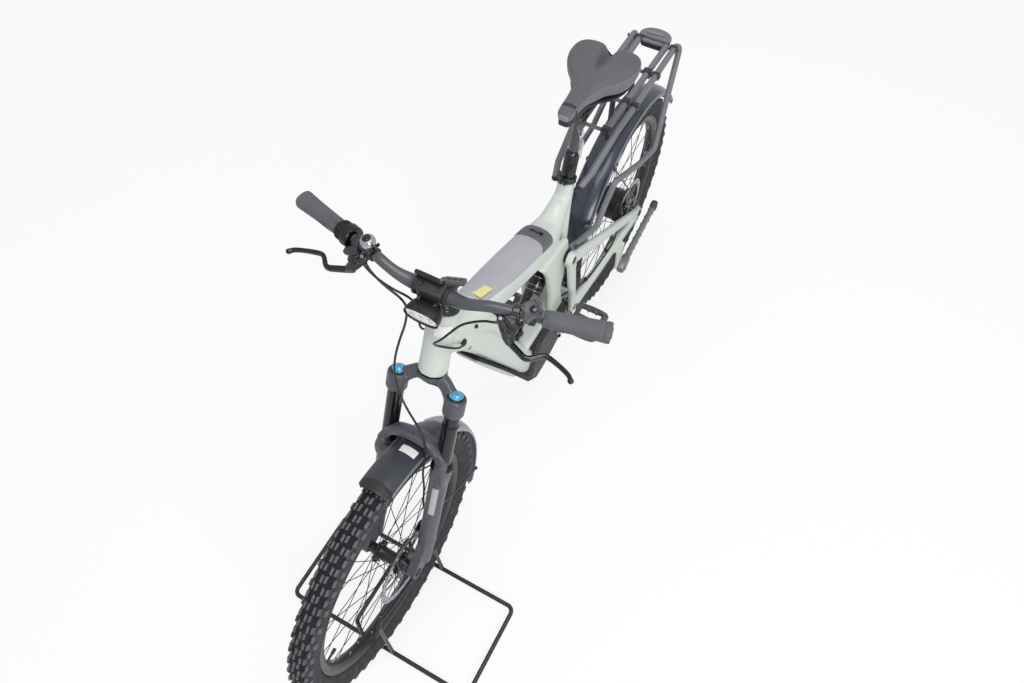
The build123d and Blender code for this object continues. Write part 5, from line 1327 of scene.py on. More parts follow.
# display: a block in the stem's clamp, its glass leaf, and a key panel to the left
block_up = unit((0.1, 0, 1))
block_fwd = square_to(block_up)
block_mid = CLAMP + vec(0.005, 0, 0.013)
screen_up = unit((-0.84, 0, 0.54))
screen_fwd = unit((0.54, 0, 0.84))
screen_mid = CLAMP + vec(-0.007, -0.008, 0.018) + screen_up * 0.0045
panel_up = unit((-0.8, -0.3, 1))
panel_x = square_to(panel_up, vec(-0.4, 1, 0))
panel_y = panel_up.cross(panel_x)
panel_mid = CLAMP + vec(-0.026, 0.032, 0.01) + panel_up * 0.0045


def slab(centre, u, v, w, size, power=8):
    """Rounded plate: full size at mid-height, softened above and below."""
    half_u, half_v, half_w = (s / 2 for s in size)
    return loft([ring(centre + w * half_w * t, u, v, half_u * g, half_v * g, power, 48)
        for t, g in ((-1, 0.93), (-0.55, 0.99), (0.5, 1.0), (0.85, 0.975), (1, 0.94))])


piece("display_mount", [slab(block_mid, block_fwd, Y, block_up, (0.0355, 0.0615, 0.0178), 5)]
    + [lathe(CLAMP + Y * (side * 0.0335 - 0.0035), Y, [(0, 19.5), (0.8, 20.8), (6.2, 20.8), (7, 19.5)], 40)
    for side in SIDES] + [slab(panel_mid - panel_up * 0.008 + vec(0.012, -0.012, 0.004), panel_x, panel_y,
    panel_up, (0.022, 0.02, 0.016), 5)], "black_plastic", "steering", "display", bevel=0.0006)
piece("display_leaf", slab(screen_mid, screen_fwd, Y, screen_up, (0.0378, 0.0615, 0.0088), 12),
    "gloss_plastic", "steering", bevel=0.0006)
piece("display_glass", slab(screen_mid + screen_up * 0.0042, screen_fwd, Y, screen_up,
    (0.0315, 0.055, 0.0014), 12), "screen", "steering")
piece("display_panel", slab(panel_mid, panel_x, panel_y, panel_up, (0.0435, 0.0395, 0.0085), 7),
    "grey_plastic", "steering", bevel=0.0006)
piece("panel_keys", [lathe(panel_mid + panel_x * a + panel_up * 0.004, panel_up,
    [(0, 4.8), (1.3, 4.5), (1.6, 0.1)], 22) for a in (-0.011, 0.0, 0.011)], "black_plastic", "steering")

# headlight: a flattened cup with a ribbed oval glass
LAMP = CLAMP + vec(0.019, 0, -0.027)
lamp_fwd = unit((cos(radians(4)), 0, -sin(radians(4))))
lamp_up = Y.cross(lamp_fwd) * -1


def lamp_rings(*stations):
    """Rings of the headlight, from (reach, half width, half height) at each."""
    return [ring(LAMP + lamp_fwd * reach, Y, lamp_up, a, b, 2.4, 56) for reach, a, b in stations]


piece("lamp_shell", loft(lamp_rings((-0.0115, 0.0195, 0.0092), (-0.006, 0.0265, 0.014),
    (0.006, 0.0342, 0.0188), (0.019, 0.0371, 0.0212), (0.0305, 0.0379, 0.0219), (0.031, 0.0368, 0.0208),
    (0.0275, 0.0356, 0.0198), (0.0272, 0.01, 0.006))), "lamp_black", "steering", "headlight", sharp=45)
piece("lamp_bowl", loft(lamp_rings((0.0274, 0.0354, 0.0196), (0.0282, 0.0348, 0.0191),
    (0.0284, 0.01, 0.006))), "lens_white", "steering")
solids = []
for k in range(-6, 7):
    y = 0.0052 * k
    half = 0.0184 * max(0.05, 1 - abs(y / 0.0346) ** 2.4) ** (1 / 2.4)
    solids.append(block(LAMP + lamp_fwd * 0.0288 + Y * y, lamp_fwd, Y, lamp_up, (1.2, 1.3, 2000 * half)))
for k in range(-1, 2):
    solids.append(block(LAMP + lamp_fwd * 0.0288 + lamp_up * 0.009 * k, lamp_fwd, Y, lamp_up,
        (1.2, 63 - 11 * abs(k), 1)))
piece("lamp_ribs", solids, "lens_white", "steering", bevel=0.0002)
piece("lamp_reflector_dots", [lathe(LAMP + lamp_fwd * 0.0282 + Y * a, lamp_fwd,
    [(0, 6.2), (0.9, 5.8), (0.6, 3.2), (0.2, 0.1)], 24) for a in (-0.019, 0, 0.019)], "brushed_steel",
    "steering")
piece("lamp_rim", tube(lamp_rings((0.031, 0.0373, 0.0213))[0], 0.0011, 10, closed=True), "gloss_black",
    "steering")


# ---- Wheels ----
def hoop(hub_x, section, steps=128):
    """Section of (y, radius) points turned round a wheel's axle."""
    return loft([[round_hub(hub_x, y, r, 2 * pi * k / steps) for y, r in section] for k in range(steps)],
        closed=True)


def mixed_hull(hub_x, y0, y1, r0, r1, a0, a1, skew, bevel):
    """Tread block between two widths, radii and angles, narrower at its top."""
    low = [round_hub(hub_x, y, r0, a) for y, a in ((y0, a0), (y1, a0 + skew), (y1, a1 + skew), (y0, a1))]
    shrink = bevel / TYRE_RADIUS
    top = [round_hub(hub_x, y, r1, a) for y, a in ((y0 + bevel, a0 + shrink),
        (y1 - bevel, a0 + skew + shrink), (y1 - bevel, a1 + skew - shrink), (y0 + bevel, a1 - shrink))]
    return loft([low, top])


TYRE_SECTION = mirrored([(-0.0155, 0.2965), (-0.02, 0.2985), (-0.0255, 0.306), (-0.0295, 0.317),
    (-0.0308, 0.327), (-0.0295, 0.3362), (-0.0245, 0.344), (-0.0165, 0.3495), (-0.008, 0.3522),
    (0, 0.353)]) + mirrored([(0.0165, 0.304), (0.022, 0.316), (0.024, 0.328), (0.015, 0.343), (0, 0.347)])
RIM_SECTION = mirrored([(-0.0178, 0.2952), (-0.018, 0.29), (-0.0176, 0.285), (-0.015, 0.277),
    (-0.0105, 0.2715), (-0.0045, 0.2692)]) + mirrored([(0.0158, 0.2956), (0.0148, 0.29), (0.006, 0.286)])
PITCHES = 100
SPOKE_COUNT = 32


# tread blocks of even and odd pitches: widths, radii, share of the pitch, skew and bevel
BLOCKS = [[(0.0042, 0.0108, 0.35, 0.3566, 0.76, -0.006, 0.0012),
    (0.014, 0.0205, 0.3465, 0.3548, 0.74, 0, 0.0012), (0.0252, 0.0308, 0.3345, 0.3452, 0.7, 0, 0.0008)],
    [(0.0012, 0.0082, 0.35, 0.3568, 0.76, 0.006, 0.0012), (0.0195, 0.0262, 0.344, 0.352, 0.74, 0, 0.0012)]]


def tyre(name, node, hub_x, body):
    knobs = []
    pitch = 2 * pi / PITCHES
    for k in range(PITCHES):
        a = k * pitch
        for side in SIDES:
            for y0, y1, r0, r1, share, skew, bevel in BLOCKS[k % 2]:
                knobs.append(mixed_hull(hub_x, *sorted((side * y0, side * y1)), r0, r1, a,
                    a + pitch * share, side * skew, bevel))
    piece(f"{name}_carcass", hoop(hub_x, TYRE_SECTION, 160), "tyre", body, node, sharp=60)
    # dark hoop under the knobs, seen between them: painted shade in the gaps
    crown = mirrored([(-0.0262, 0.342), (-0.0165, 0.3501), (-0.008, 0.3529), (0, 0.3537)]) + mirrored(
        [(0.024, 0.342), (0, 0.35)])
    piece(f"{name}_groove_shade", hoop(hub_x, crown, 160), "tread_gap_painted_shade", body, sharp=60)
    # knobs in the lighter tread look: painted light on their tops
    piece(f"{name}_tread", knobs, "tread", body, bevel=0.0006, segments=1)
    bands = []
    for side in SIDES:
        for r, y in ((0.3105, 0.02725), (0.3205, 0.03035)):
            bands.append(hoop(hub_x, [(side * (y - 0.0006), r - 0.001), (side * (y + 0.0006), r - 0.0006),
                (side * (y + 0.0008), r + 0.0006), (side * (y - 0.0004), r + 0.0012)], 128))
    piece(f"{name}_bands", bands, "tyre", body)


def wheel(name, node, hub_x, body, shell, flange_r, hub_ends):
    """Rim, valve, nipples, crossed spokes and a turned hub."""
    piece(f"{name}_rim", hoop(hub_x, RIM_SECTION, 144), "rim_black", body, node, sharp=40)
    valve = round_hub(hub_x, 0, 0.27, radians(-5.6))
    inward = (vec(hub_x, 0, TYRE_RADIUS) - valve).normalized()
    piece(f"{name}_valve", lathe(valve - inward * 0.002, inward, [
        (0, 5.2), (3, 5), (3.4, 3.1), (20, 3.1), (20.5, 4.4), (32, 4.4),
        (34, 3.2), (34, 0.1)], 18), "black_metal", body, sharp=30)
    spokes, nipples = [], []
    for k in range(SPOKE_COUNT):
        side = 1 if k % 2 else -1
        lead = 1 if k % 4 < 2 else -1
        at_rim = 2 * pi / SPOKE_COUNT * k
        foot = round_hub(hub_x, side * (0.03 + 0.0022 * lead), flange_r, at_rim + lead * radians(70))
        head = round_hub(hub_x, side * 0.003, BEAD_RADIUS - RIM_DEPTH + 0.001, at_rim)
        spokes.append(rod(foot, head, 0.00105, 8))
        run = unit(foot - head)
        nipples.append(lathe(head - run * 0.002, run, [(0, 2.2), (12, 1.9), (14, 1.4)], 8))
        spokes.append(lathe(foot - Y * side * 0.0044, Y * side, [(0, 1.9), (8.8, 1.9)], 8))
    piece(f"{name}_spokes", spokes, "spoke_black", body)
    piece(f"{name}_nipples", nipples, "silver_screw", body)
    piece(f"{name}_hub", [lathe((hub_x, 0, TYRE_RADIUS), Y, shell, 56)] + hub_ends, "rim_black", body,
        bevel=0.0005)


def disc(name, node, hub_x, body):
    """Brake disc: a drilled ring on a six-armed carrier."""
    sectors = 36
    low, high = ROTOR_Y - DISC_HALF, ROTOR_Y + DISC_HALF
    points, faces, seen = [], [], {}

    def at(r, a, y):
        key = (round(r, 5), round(a % (2 * pi), 5) % round(2 * pi, 5), y)
        if key not in seen:
            seen[key] = len(points)
            points.append(round_hub(hub_x, y, r, a))
        return seen[key]

    for k in range(sectors):
        a0, a1 = 2 * pi * k / sectors, 2 * pi * (k + 1) / sectors
        mid = (a0 + a1) / 2
        inner = 0.084 + 0.0008 * (k % 2)
        rim = [(0.084, a0), (inner, mid), (0.084, a1), (0.0925, a1), (0.1004, a1), (0.101, mid),
            (0.1004, a0), (0.0925, a0)]
        centre = (0.0885, 0.0928, 0.0968)[k % 3]
        hole = []
        for j in range(8):
            angle = radians(-135 + 45 * j)
            hole.append((centre + 0.0027 * sin(angle), mid + 0.0044 * cos(angle) / centre))
        for y, flip in ((low, False), (high, True)):
            for j in range(8):
                n = (j + 1) % 8
                quad = [at(*rim[j], y), at(*rim[n], y), at(*hole[n], y), at(*hole[j], y)]
                faces.append(quad[::-1] if flip else quad)
        for j in range(8):
            n = (j + 1) % 8
            faces.append([at(*hole[j], low), at(*hole[n], low), at(*hole[n], high), at(*hole[j], high)])
        for j in (0, 1, 4, 5):
            n = j + 1
            faces.append([at(*rim[n], low), at(*rim[j], low), at(*rim[j], high), at(*rim[n], high)])
    piece(f"{name}_ring", (points, faces), "brushed_steel", body, node)
    arms, rivets = [], []
    for k in range(6):
        angle = radians(60 * k)
        line = [round_hub(hub_x, ROTOR_Y, r, angle + sweep) for r, sweep in (
            (0.026, -0.02), (0.045, 0.13), (0.064, 0.25), (0.08, 0.33), (0.0865, 0.35))]
        arms.append(tube(line, [0.0075, 0.0056, 0.0046, 0.0045, 0.0052], 16, flat=0.24, power=4, up=Y))
        rivets.append(lathe(round_hub(hub_x, ROTOR_Y - 0.0022, 0.0862, angle + 0.35), Y, [
            (0, 4), (0.5, 4.4), (4, 4.4), (4.5, 4)], 20))
        rivets.append(lathe(round_hub(hub_x, ROTOR_Y - 0.002, 0.025, angle + 0.5), Y, [
            (0, 3.4), (4.6, 3.4), (5, 2.8)], 14))
    arms.append(hoop(hub_x, [(ROTOR_Y - 0.0014, 0.0205), (ROTOR_Y - 0.0014, 0.0345),
        (ROTOR_Y + 0.0014, 0.0345), (ROTOR_Y + 0.0014, 0.0205)], 60))
    piece(f"{name}_carrier", arms, "crank_black", body, bevel=0.0003)
    piece(f"{name}_rivets", rivets, "silver_screw", body, bevel=0.0003)


look("reflector_amber", "black_plastic", (196, 120, 44), 0.25, 0.05, (700, 80), coat=0.6)
look("stand_leg_grey", "black_metal", (128, 130, 136), 0.34, 0.1, (1500, 40), metal=0.5, coat=0.2,
    coat_rough=0.3)
look("spoke_black", "black_metal", (26, 26, 29), 0.28, 0.1, (900, 0), metal=0.3, coat=0.2)
tyre("front_tyre", "front_tyre", FRONT_X, "front_wheel")
tyre("rear_tyre", "rear_tyre", REAR_X, "rear_wheel")
wheel("front_wheel", "front_wheel_frame", FRONT_X, "front_wheel",
      [(-54, 13), (-40.5, 13.8), (-40, 16.5), (-33.5, 20), (-32.8, 29.5), (-27.8, 29.5),
       (-26.5, 18.5), (-10, 16.2), (10, 16.2), (26.5, 18.5), (27.8, 29.5), (32.8, 29.5),
       (33.5, 21.5), (42.5, 20), (45.5, 19), (46.2, 16.5), (54, 15)], 0.026, [])
wheel("rear_wheel", "rear_wheel_frame", REAR_X, "rear_wheel",
    [(-70, 14.5), (-54.5, 15.5), (-54, 22), (-34, 30), (-32.5, 48), (-32, 61), (-27.5, 61.2), (-26.2, 52),
    (-20, 50.5), (20, 50.5), (26.2, 52), (27.5, 61.2), (32, 61), (32.5, 48), (34.5, 24), (42.5, 20.5),
    (46, 19.5), (46.5, 16.5), (70, 15)], 0.058, [turned(round_hub(REAR_X, BELT_Y - 0.0048, 0, 0), Y,
    [(0, 0.033), (0.0005, SPROCKET_R), (0.0091, SPROCKET_R), (0.0096, 0.033)], 60)])
hub_fins = [hoop(REAR_X, [(y - 0.0008, 0.05), (y - 0.0008, 0.0522), (y + 0.0008, 0.0522),
    (y + 0.0008, 0.05)], 64) for y in (-0.016, -0.008, 0, 0.008, 0.016)]
piece("rear_hub_fins", hub_fins, "rim_black", "rear_wheel")
disc("front_disc", "front_rotor", FRONT_X, "front_wheel")
disc("rear_disc", "rear_rotor", REAR_X, "rear_wheel")

# ---- Cranks, pedals and side stand ----
def pedal_centre(side):
    return BB + Y * side * PEDAL_Y + (X * cos(CRANK_LEAN) + Z * sin(CRANK_LEAN)) * side * CRANK_LENGTH


arms, caps = [], []
for side in SIDES:
    centre = pedal_centre(side)
    root = BB + Y * side * CRANK_Y
    end = vec(centre.x, side * (CRANK_Y + 0.006), centre.z)
    run = unit(end - root)
    thick = unit(Y - run * run.y)
    wide = run.cross(thick)
    arms.append(loft([ring(root.lerp(end, t), thick, wide, a, b, 3, 28) for t, a, b in (
        (-0.085, 0.0055, 0.011), (-0.06, 0.0066, 0.015), (0.0, 0.007, 0.0185), (0.12, 0.0068, 0.015),
        (0.3, 0.0064, 0.0128), (0.7, 0.006, 0.0112), (0.92, 0.0062, 0.0128), (1.0, 0.0064, 0.0134),
        (1.055, 0.006, 0.0108), (1.075, 0.005, 0.007))]))
    arms.append(lathe(root - Y * side * 0.0085, Y * side, [(0, 18.2), (1, 19), (15.5, 19), (16.5, 18)], 40))
    arms.append(lathe(root - Y * side * 0.046, Y * side, [(0, 11.8), (40, 11.8)], 32))
    caps.append(lathe(root + Y * side * 0.0078, Y * side, [
        (0, 12.2), (0.4, 11.8), (0.4, 6.2), (-2, 5.8), (-2, 0.1)], 32))
    caps.append(lathe(end + Y * side * 0.0062, Y * side, [(0, 8.2), (0.8, 7.6), (0.8, 5.8)], 28))
    caps.append(rod(end, vec(centre.x, side * (PEDAL_Y + 0.0415), centre.z), 0.0053, 24))
piece("crank_arms", arms, "crank_black", "cranks", "crankset", bevel=0.0008)
piece("crank_caps", caps, "silver_screw", "cranks", bevel=0.0002)
solids = [loft([[BB + Y * (BELT_Y + y) + (X * cos(a) + Z * sin(a)) * r for y, r in (
    (-0.004, 0.0545), (-0.004, 0.0618), (0.004, 0.0618), (0.004, 0.0545))]
    for a in [2 * pi * k / 96 for k in range(96)]], closed=True)]
for k in range(48):
    angle = 2 * pi * k / 48
    out_way = X * cos(angle) + Z * sin(angle)
    solids.append(block(BB + Y * (BELT_Y - 0.0046) + out_way * 0.0608, Y, out_way.cross(Y), out_way,
        (1.2, 4, 2)))
for k in range(5):
    angle = 2 * pi * k / 5 + 0.3
    out_way = X * cos(angle) + Z * sin(angle)
    solids.append(loft([ring(BB + Y * (BELT_Y - 0.001) + out_way * r, Y, out_way.cross(Y), 0.0028, w, 3, 20)
        for r, w in ((0.018, 0.011), (0.035, 0.007), (0.056, 0.0078))]))
solids.append(lathe(BB + Y * (BELT_Y - 0.004), Y, [(0, 24), (8, 24)], 44))
solids.append(lathe(BB - Y * CRANK_Y, Y, [(0, 19), (4, 21.5), (40, 21.5)], 44))
piece("belt_ring", solids, "crank_black", "cranks", bevel=0.0003)

for side, node in ((1, "left_pedal"), (-1, "right_pedal")):
    centre = pedal_centre(side)
    solids = []
    for a in (-1, 1):
        solids.append(tube(smooth_path([centre + vec(a * 0.02, -0.036, 0),
            centre + vec(a * 0.043, -0.036, 0), centre + vec(a * 0.043, 0.036, 0),
            centre + vec(a * 0.02, 0.036, 0)], 4), 0.0062, 20, flat=1.35, power=4, up=Z))
        solids.append(loft([ring(centre + vec(a * 0.043, y, 0), X, Z, w, h, 4, 24)
            for y, w, h in ((-0.034, 0.0028, 0.0088), (-0.015, 0.0028, 0.0106), (0.015, 0.0028, 0.0106),
            (0.034, 0.0028, 0.0088))]))
    solids.append(loft([ring(centre + vec(0, y, 0), X, Z, w, h, 3, 28) for y, w, h in (
        (-0.0415, 0.015, 0.0085), (-0.034, 0.0165, 0.0104), (0.0, 0.0145, 0.0098), (0.034, 0.0165, 0.0104),
        (0.0415, 0.015, 0.0085))]))
    for b in (-1, 1):
        solids.append(block(centre + vec(0, b * 0.0355, 0), X, Y, Z, (70, 11, 16.5)))
    pedal_name = "pedal_left" if side == 1 else "pedal_right"
    piece(f"{node}_cage", solids, "pedal_grey", pedal_name, node, voxel=0.0014, relax=3)
    pins = []
    for a in (-1, 1):
        for b in (-0.034, -0.0115, 0.0115, 0.034):
            for up in (-1, 1):
                pins.append(lathe(centre + vec(a * 0.0395, b, up * 0.007), Z * up, [
                    (0, 2.2), (3.2, 2), (3.8, 1.4)], 10))
    for b in (-0.026, 0.026):
        for up in (-1, 1):
            pins.append(lathe(centre + vec(0, b, up * 0.0085), Z * up, [(0, 2.2), (1.8, 2), (2.4, 1.4)],
                10))
    piece(f"{node}_pins", pins, "silver_screw", pedal_name)
    reflectors = [slab(centre + vec(a * 0.0445, 0, 0), Y, Z, X * a, (0.044, 0.012, 0.0024), 10)
        for a in (-1, 1)]
    piece(f"{node}_reflectors", reflectors, "reflector_amber", pedal_name)

fold = unit((-cos(radians(12)), 0, sin(radians(12))))
fold_up = unit((sin(radians(12)), 0, cos(radians(12))))
solids = [
    loft([ring(KICK_PIVOT + fold * t, Y, fold_up, w, h, 4, 28) for t, w, h in (
        (0.01, 0.0086, 0.013), (0.06, 0.009, 0.0126), (0.15, 0.0086, 0.012), (0.238, 0.0086, 0.0122))]),
    loft([ring(KICK_PIVOT + fold * t, Y, fold_up, w, h, 5, 28) for t, w, h in (
        (-0.012, 0.012, 0.015), (0.01, 0.0135, 0.0165), (0.036, 0.013, 0.016), (0.044, 0.0095, 0.013))]),
    lathe(KICK_PIVOT - Y * 0.008, Y, [(0, 14.5), (1, 15.8), (15, 15.8), (16, 14.5)], 40),
]
for t in (0.06, 0.082, 0.105, 0.135, 0.165, 0.195, 0.225):
    solids.append(block(KICK_PIVOT + fold * t, fold, Y, fold_up, (5, 19, 26.2)))
piece("stand_leg", solids, "stand_leg_grey", "side_stand", "kickstand", bevel=0.0012)
piece("stand_shoe", [loft([ring(KICK_PIVOT + fold * t, Y, fold_up, w, h, 4, 28) for t, w, h in (
    (0.2335, 0.0095, 0.012), (0.24, 0.0108, 0.0138), (0.258, 0.0108, 0.0138), (0.2635, 0.0094, 0.0122))])]
    + [block(KICK_PIVOT + fold * t, fold, Y, fold_up, (2.2, 21.9, 27.9)) for t in (0.2435, 0.249, 0.2545)],
      "pedal_grey", "side_stand", bevel=0.0008)
piece("stand_pad", slab(KICK_PIVOT - fold * 0.0125, Y, fold_up, -fold, (0.0215, 0.026, 0.005), 5),
    "foot_tan", "side_stand")
piece("stand_bolt", lathe(KICK_PIVOT + Y * 0.0128, Y, [(0, 8.5), (2, 8.5), (3.2, 7.2), (3.2, 4), (0.8, 3.6),
    (0.8, 0.1)], 24), "silver_screw", "side_stand", bevel=0.0002)


# ---- Hoses, and the cables from the handlebar ----
FRONT_BRAKE_HOSE = [(347, -151, 1083), (353, -136, 1068), (362, -110, 1062), (368, -82, 1056),
    (366, -58, 1040), (364, -49, 1014), (382, -44, 987), (408, -46, 960), (427, -50, 922), (437, -53, 880),
    (441, -52, 838), (448, -42, 800), (459, -22, 776), (471, 4, 760), (480, 26, 740),
    *[tuple(steer(s / 1000, n / 1000, y / 1000) * 1000) for s, n, y in ((393, 50, 38), (360, 51, 43),
    (326, 50, 43), (290, 36, 39), (248, 22, 41), (204, 16, 42), (164, 4, 41), (132, -12, 43),
    (106, -25, 47))]]
REAR_BRAKE_HOSE = [
    (-158, 42, 470), (-186, 49, 459), (-216, 52, 442), (-250, 59, 422), (-294, 69, 408), (-352, 72, 400),
    (-416, 74, 394), (-474, 75, 391), (-514, 70, 396), (-540, 60, 411), (-552, 50, 428),
]
LEFT_CABLE = [(347, 151, 1083), (346, 136, 1066), (340, 115, 1050), (348, 93, 1042), (363, 73, 1038),
    (381, 59, 1024), (390, 39, 994), (389, 18, 966), (376, 20, 942), (357, 38, 920), (336, 46, 897),
    (315, 38, 877), (303, 24, 866)]
RIGHT_CABLE = [(326, -188, 1078), (334, -174, 1066), (345, -154, 1059), (354, -128, 1056), (361, -98, 1055),
    (362, -72, 1051), (354, -52, 1036), (344, -45, 1008), (341, -43, 974), (346, -43, 938), (337, -46, 902),
    (315, -38, 877), (303, -24, 866)]
HOSE_R = 0.0025


def hose(name, route, body, node):
    """Hose through the points of its route, as a round-bevelled spline."""
    curve = bpy.data.curves.new(name, "CURVE")
    curve.dimensions = "3D"
    curve.bevel_depth = HOSE_R
    curve.bevel_resolution = 4
    curve.resolution_u = 10
    curve.use_fill_caps = True
    spline = curve.splines.new("NURBS")
    spline.points.add(len(route) - 1)
    for point, place in zip(spline.points, route):
        point.co = (place[0] / 1000, place[1] / 1000, place[2] / 1000, 1)
    spline.order_u = 3
    spline.use_endpoint_u = True
    made = put(name, curve)
    dress(made, "hose_black")
    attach(made, body)
    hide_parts(node)
    return made


hose("front_brake_hose_line", FRONT_BRAKE_HOSE, "steering", "front_brake_hose")
hose("rear_brake_hose_line", REAR_BRAKE_HOSE, "frame", "rear_brake_hose")


def spline_points(route):
    """The same order-3 spline as points: curves through the middles of the route's legs."""
    p = [Vector(c) / 1000 for c in route]
    middles = [p[0]] + [(a + b) / 2 for a, b in zip(p[1:], p[2:-1])] + [p[-1]]
    out = []
    for a, corner, b in zip(middles, p[1:-1], middles[1:]):
        for k in range(8):
            t = k / 8
            out.append(a * (1 - t) ** 2 + corner * 2 * t * (1 - t) + b * t * t)
    return [*out, middles[-1]]


solids = [tube(spline_points(LEFT_CABLE), HOSE_R, 12), tube(spline_points(RIGHT_CABLE), HOSE_R, 12)]
steering_cable_lines = piece("steering_cable_lines", solids, "hose_black", None, "steering_cables")
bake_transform(steering_cable_lines)

# cable clips and end sleeves
solids = []
for x, y, z in ((-300, 69.5, 407), (-440, 74.5, 393)):
    solids.append(block(vec(x, y - 3, z + 1) / 1000, X, Y, Z, (7.5, 11, 8)))
piece("rear_hose_clips", solids, "black_plastic", "frame", bevel=0.0008)


def hose_end(route, profile):
    """Sleeve over the first leg of a route."""
    a, b = (Vector(p) / 1000 for p in route[:2])
    return lathe(a, b - a, profile, 18)


LONG_SLEEVE = [(-2, 4.2), (10, 4.2), (11, 3.6), (18, 3.4), (20, 2.8)]
SHORT_SLEEVE = [(-4, 4.2), (8, 4.2), (9, 3.4), (16, 3.2)]
piece("hose_sleeves", [hose_end(route, LONG_SLEEVE) for route in (FRONT_BRAKE_HOSE, LEFT_CABLE,
    RIGHT_CABLE)] + [hose_end(FRONT_BRAKE_HOSE[::-1], SHORT_SLEEVE)], "gloss_black", "steering",
    bevel=0.0003)
piece("rear_hose_sleeve", hose_end(REAR_BRAKE_HOSE[::-1], SHORT_SLEEVE), "gloss_black", "frame",
    bevel=0.0003)


# ---- CAD parts that show as they are built ----
CAD_LOOKS = {
    "sage_paint": "main_frame swingarm",
    "cover_grey": "upper_battery_cover",
    "cover_dark": "battery_latch",
    "belly_clear": "lower_battery_cover",
    "motor_black": "drive_unit",
    "gloss_black": "shock_absorber seatpost stanchions",
    "black_metal": "rear_axle rear_caliper seat_clamp saddle_rails front_axle stem front_caliper "
        "kickstand",
    "saddle_skin": "saddle",
    "rack_grey": "rack rear_light",
    "guard_navy": "rear_mudguard",
    "fork_blue_grey": "fork_crown fork_lowers",
    "anodised_blue": "fork_caps",
    "bar_black": "handlebar",
    "grip_rubber": "grips",
    "gloss_plastic": "twist_shifter display",
    "lever_black": "brake_levers",
    "grey_plastic": "remote_control",
    "bell_steel": "bell",
    "lamp_black": "headlight",
    "guard_satin": "front_mudguard",
    "stand_black": "floor_stand",
    "tyre": "front_tyre rear_tyre",
    "rim_black": "front_wheel_frame rear_wheel_frame",
    "brushed_steel": "front_rotor rear_rotor",
    "crank_black": "crankset",
    "pedal_grey": "left_pedal right_pedal",
    "rubber": "drive_belt",
    "hose_black": "rear_brake_hose front_brake_hose steering_cables",
}
for finish_name, nodes in CAD_LOOKS.items():
    for node in nodes.split():
        dress(frame["nodes"][node], finish_name)

# ---- Floor, light and camera ----
FLOOR_RADIUS = 14


def finished(tree, factor, below, above, output):
    """End a tree in a mix of two shaders."""
    mix = tree.nodes.new("ShaderNodeMixShader")
    tree.links.new(factor, mix.inputs["Fac"])
    tree.links.new(below.outputs[0], mix.inputs[1])
    tree.links.new(above.outputs[0], mix.inputs[2])
    tree.links.new(mix.outputs[0], tree.nodes.new(output).inputs["Surface"])


def floor():
    """Pale floor: it shows as plain white, with the bicycle's own soft shadow left on it."""
    mesh = bpy.data.meshes.new("floor")
    count = 64
    points = [(FLOOR_RADIUS * cos(2 * pi * k / count), FLOOR_RADIUS * sin(2 * pi * k / count), 0)
        for k in range(count)]
    mesh.from_pydata(points, [], [list(range(count))])
    made = put("floor", mesh)
    material = bpy.data.materials.new("floor")
    material.use_nodes = True
    tree = material.node_tree
    tree.nodes.clear()
    lit = tree.nodes.new("ShaderNodeBsdfDiffuse")
    white = tree.nodes.new("ShaderNodeEmission")
    white.inputs["Strength"].default_value = 1
    rays = tree.nodes.new("ShaderNodeLightPath")
    tones = [(tone, tone, tone, 1) for tone in (FLOOR_TONE, FLOOR_SHOWN)]
    tree.links.new(mixed(tree, rays.outputs["Is Camera Ray"], *tones), lit.inputs["Color"])
    share = tree.nodes.new("ShaderNodeMath")
    share.operation = "MULTIPLY"
    share.inputs[1].default_value = FLOOR_WHITE
    tree.links.new(rays.outputs["Is Camera Ray"], share.inputs[0])
    finished(tree, share.outputs[0], lit, white, "ShaderNodeOutputMaterial")
    mesh.materials.append(material)


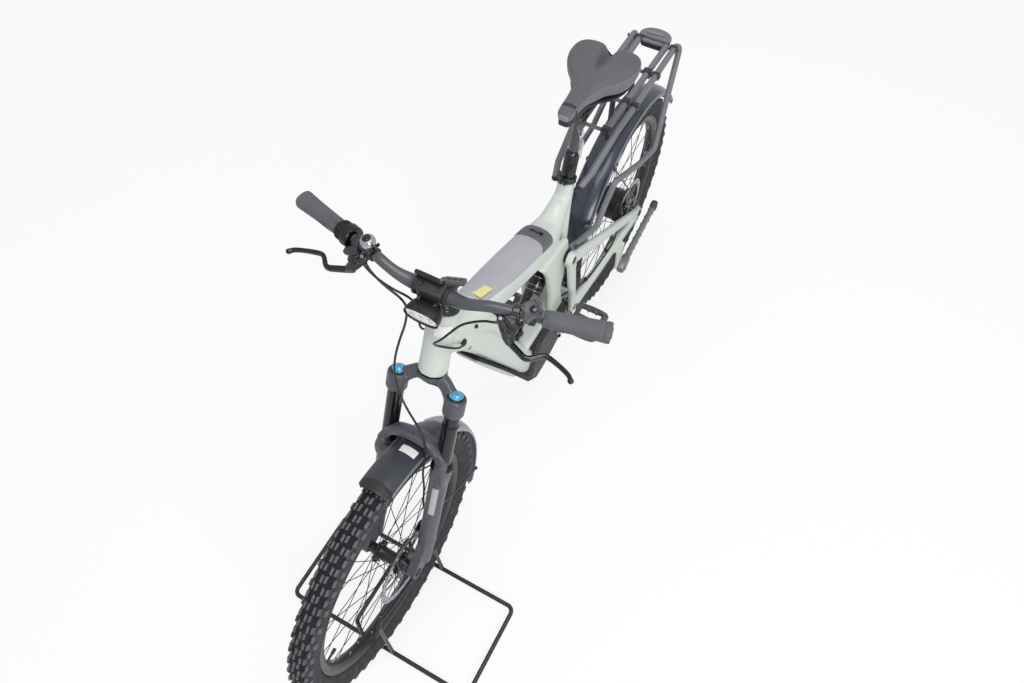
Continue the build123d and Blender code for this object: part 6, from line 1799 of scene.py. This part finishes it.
def world(low, high):
    """Studio light that grows from the horizon to the top; the camera sees it as plain white."""
    scene_world = bpy.data.worlds.new("studio")
    bpy.context.scene.world = scene_world
    scene_world.use_nodes = True
    tree = scene_world.node_tree
    tree.nodes.clear()
    even = tree.nodes.new("ShaderNodeBackground")
    even.inputs["Color"].default_value = (0.96, 0.98, 1.0, 1)
    way = tree.nodes.new("ShaderNodeSeparateXYZ")
    tree.links.new(tree.nodes.new("ShaderNodeTexCoord").outputs["Generated"], way.inputs[0])
    tree.links.new(spread(tree, way.outputs["Z"], low, high, 0, 1), even.inputs["Strength"])
    white = tree.nodes.new("ShaderNodeBackground")
    white.inputs["Color"].default_value = (1, 1, 1, 1)
    white.inputs["Strength"].default_value = 1
    rays = tree.nodes.new("ShaderNodeLightPath")
    finished(tree, rays.outputs["Is Camera Ray"], even, white, "ShaderNodeOutputWorld")


def area_light(name, place, target, size, power):
    """Soft box of a size (width, height) at a place, turned to a target."""
    light = bpy.data.lights.new(name, "AREA")
    light.shape = "RECTANGLE"
    light.size, light.size_y = size
    light.energy = power
    made = put(name, light)
    made.location = place
    made.rotation_euler = (Vector(target) - Vector(place)).to_track_quat("-Z", "Y").to_euler()


FLOOR_WHITE = 0.8
FLOOR_TONE = 0.8
FLOOR_SHOWN = 0.95
SKY = (0.58, 0.66)  # strength at the horizon and overhead
floor()
world(*SKY)
area_light("overhead", (0.4, 0.6, 3.6), (0, 0, 0.5), (2.0, 1.6), 42)
area_light("left_front", (2.6, 3.0, 2.2), (0, 0, 0.6), (1.4, 1.4), 52)

CAMERA_PLACE = vec(1.02655, 0.54827, 2.23988)
CAMERA_YAW = 3.6463056
CAMERA_PITCH = 0.9997378
CAMERA_ROLL = -0.0075823
CAMERA_LENS = 27.26
CAMERA_SENSOR = 36
camera_data = bpy.data.cameras.new("camera")
camera_data.sensor_width = CAMERA_SENSOR
camera_data.lens = CAMERA_LENS
camera_data.clip_start = 0.05
camera_data.clip_end = 100
camera = put("camera", camera_data)
ahead = vec(cos(CAMERA_YAW) * cos(CAMERA_PITCH), sin(CAMERA_YAW) * cos(CAMERA_PITCH), -sin(CAMERA_PITCH))
level = vec(sin(CAMERA_YAW), -cos(CAMERA_YAW), 0)
upright = level.cross(ahead)
right = level * cos(CAMERA_ROLL) + upright * sin(CAMERA_ROLL)
above = upright * cos(CAMERA_ROLL) - level * sin(CAMERA_ROLL)
turn = Matrix((right, above, -ahead)).transposed()
camera.matrix_world = Matrix.Translation(CAMERA_PLACE) @ turn.to_4x4()
bpy.context.scene.camera = camera
bpy.context.scene.view_settings.view_transform = "Standard"
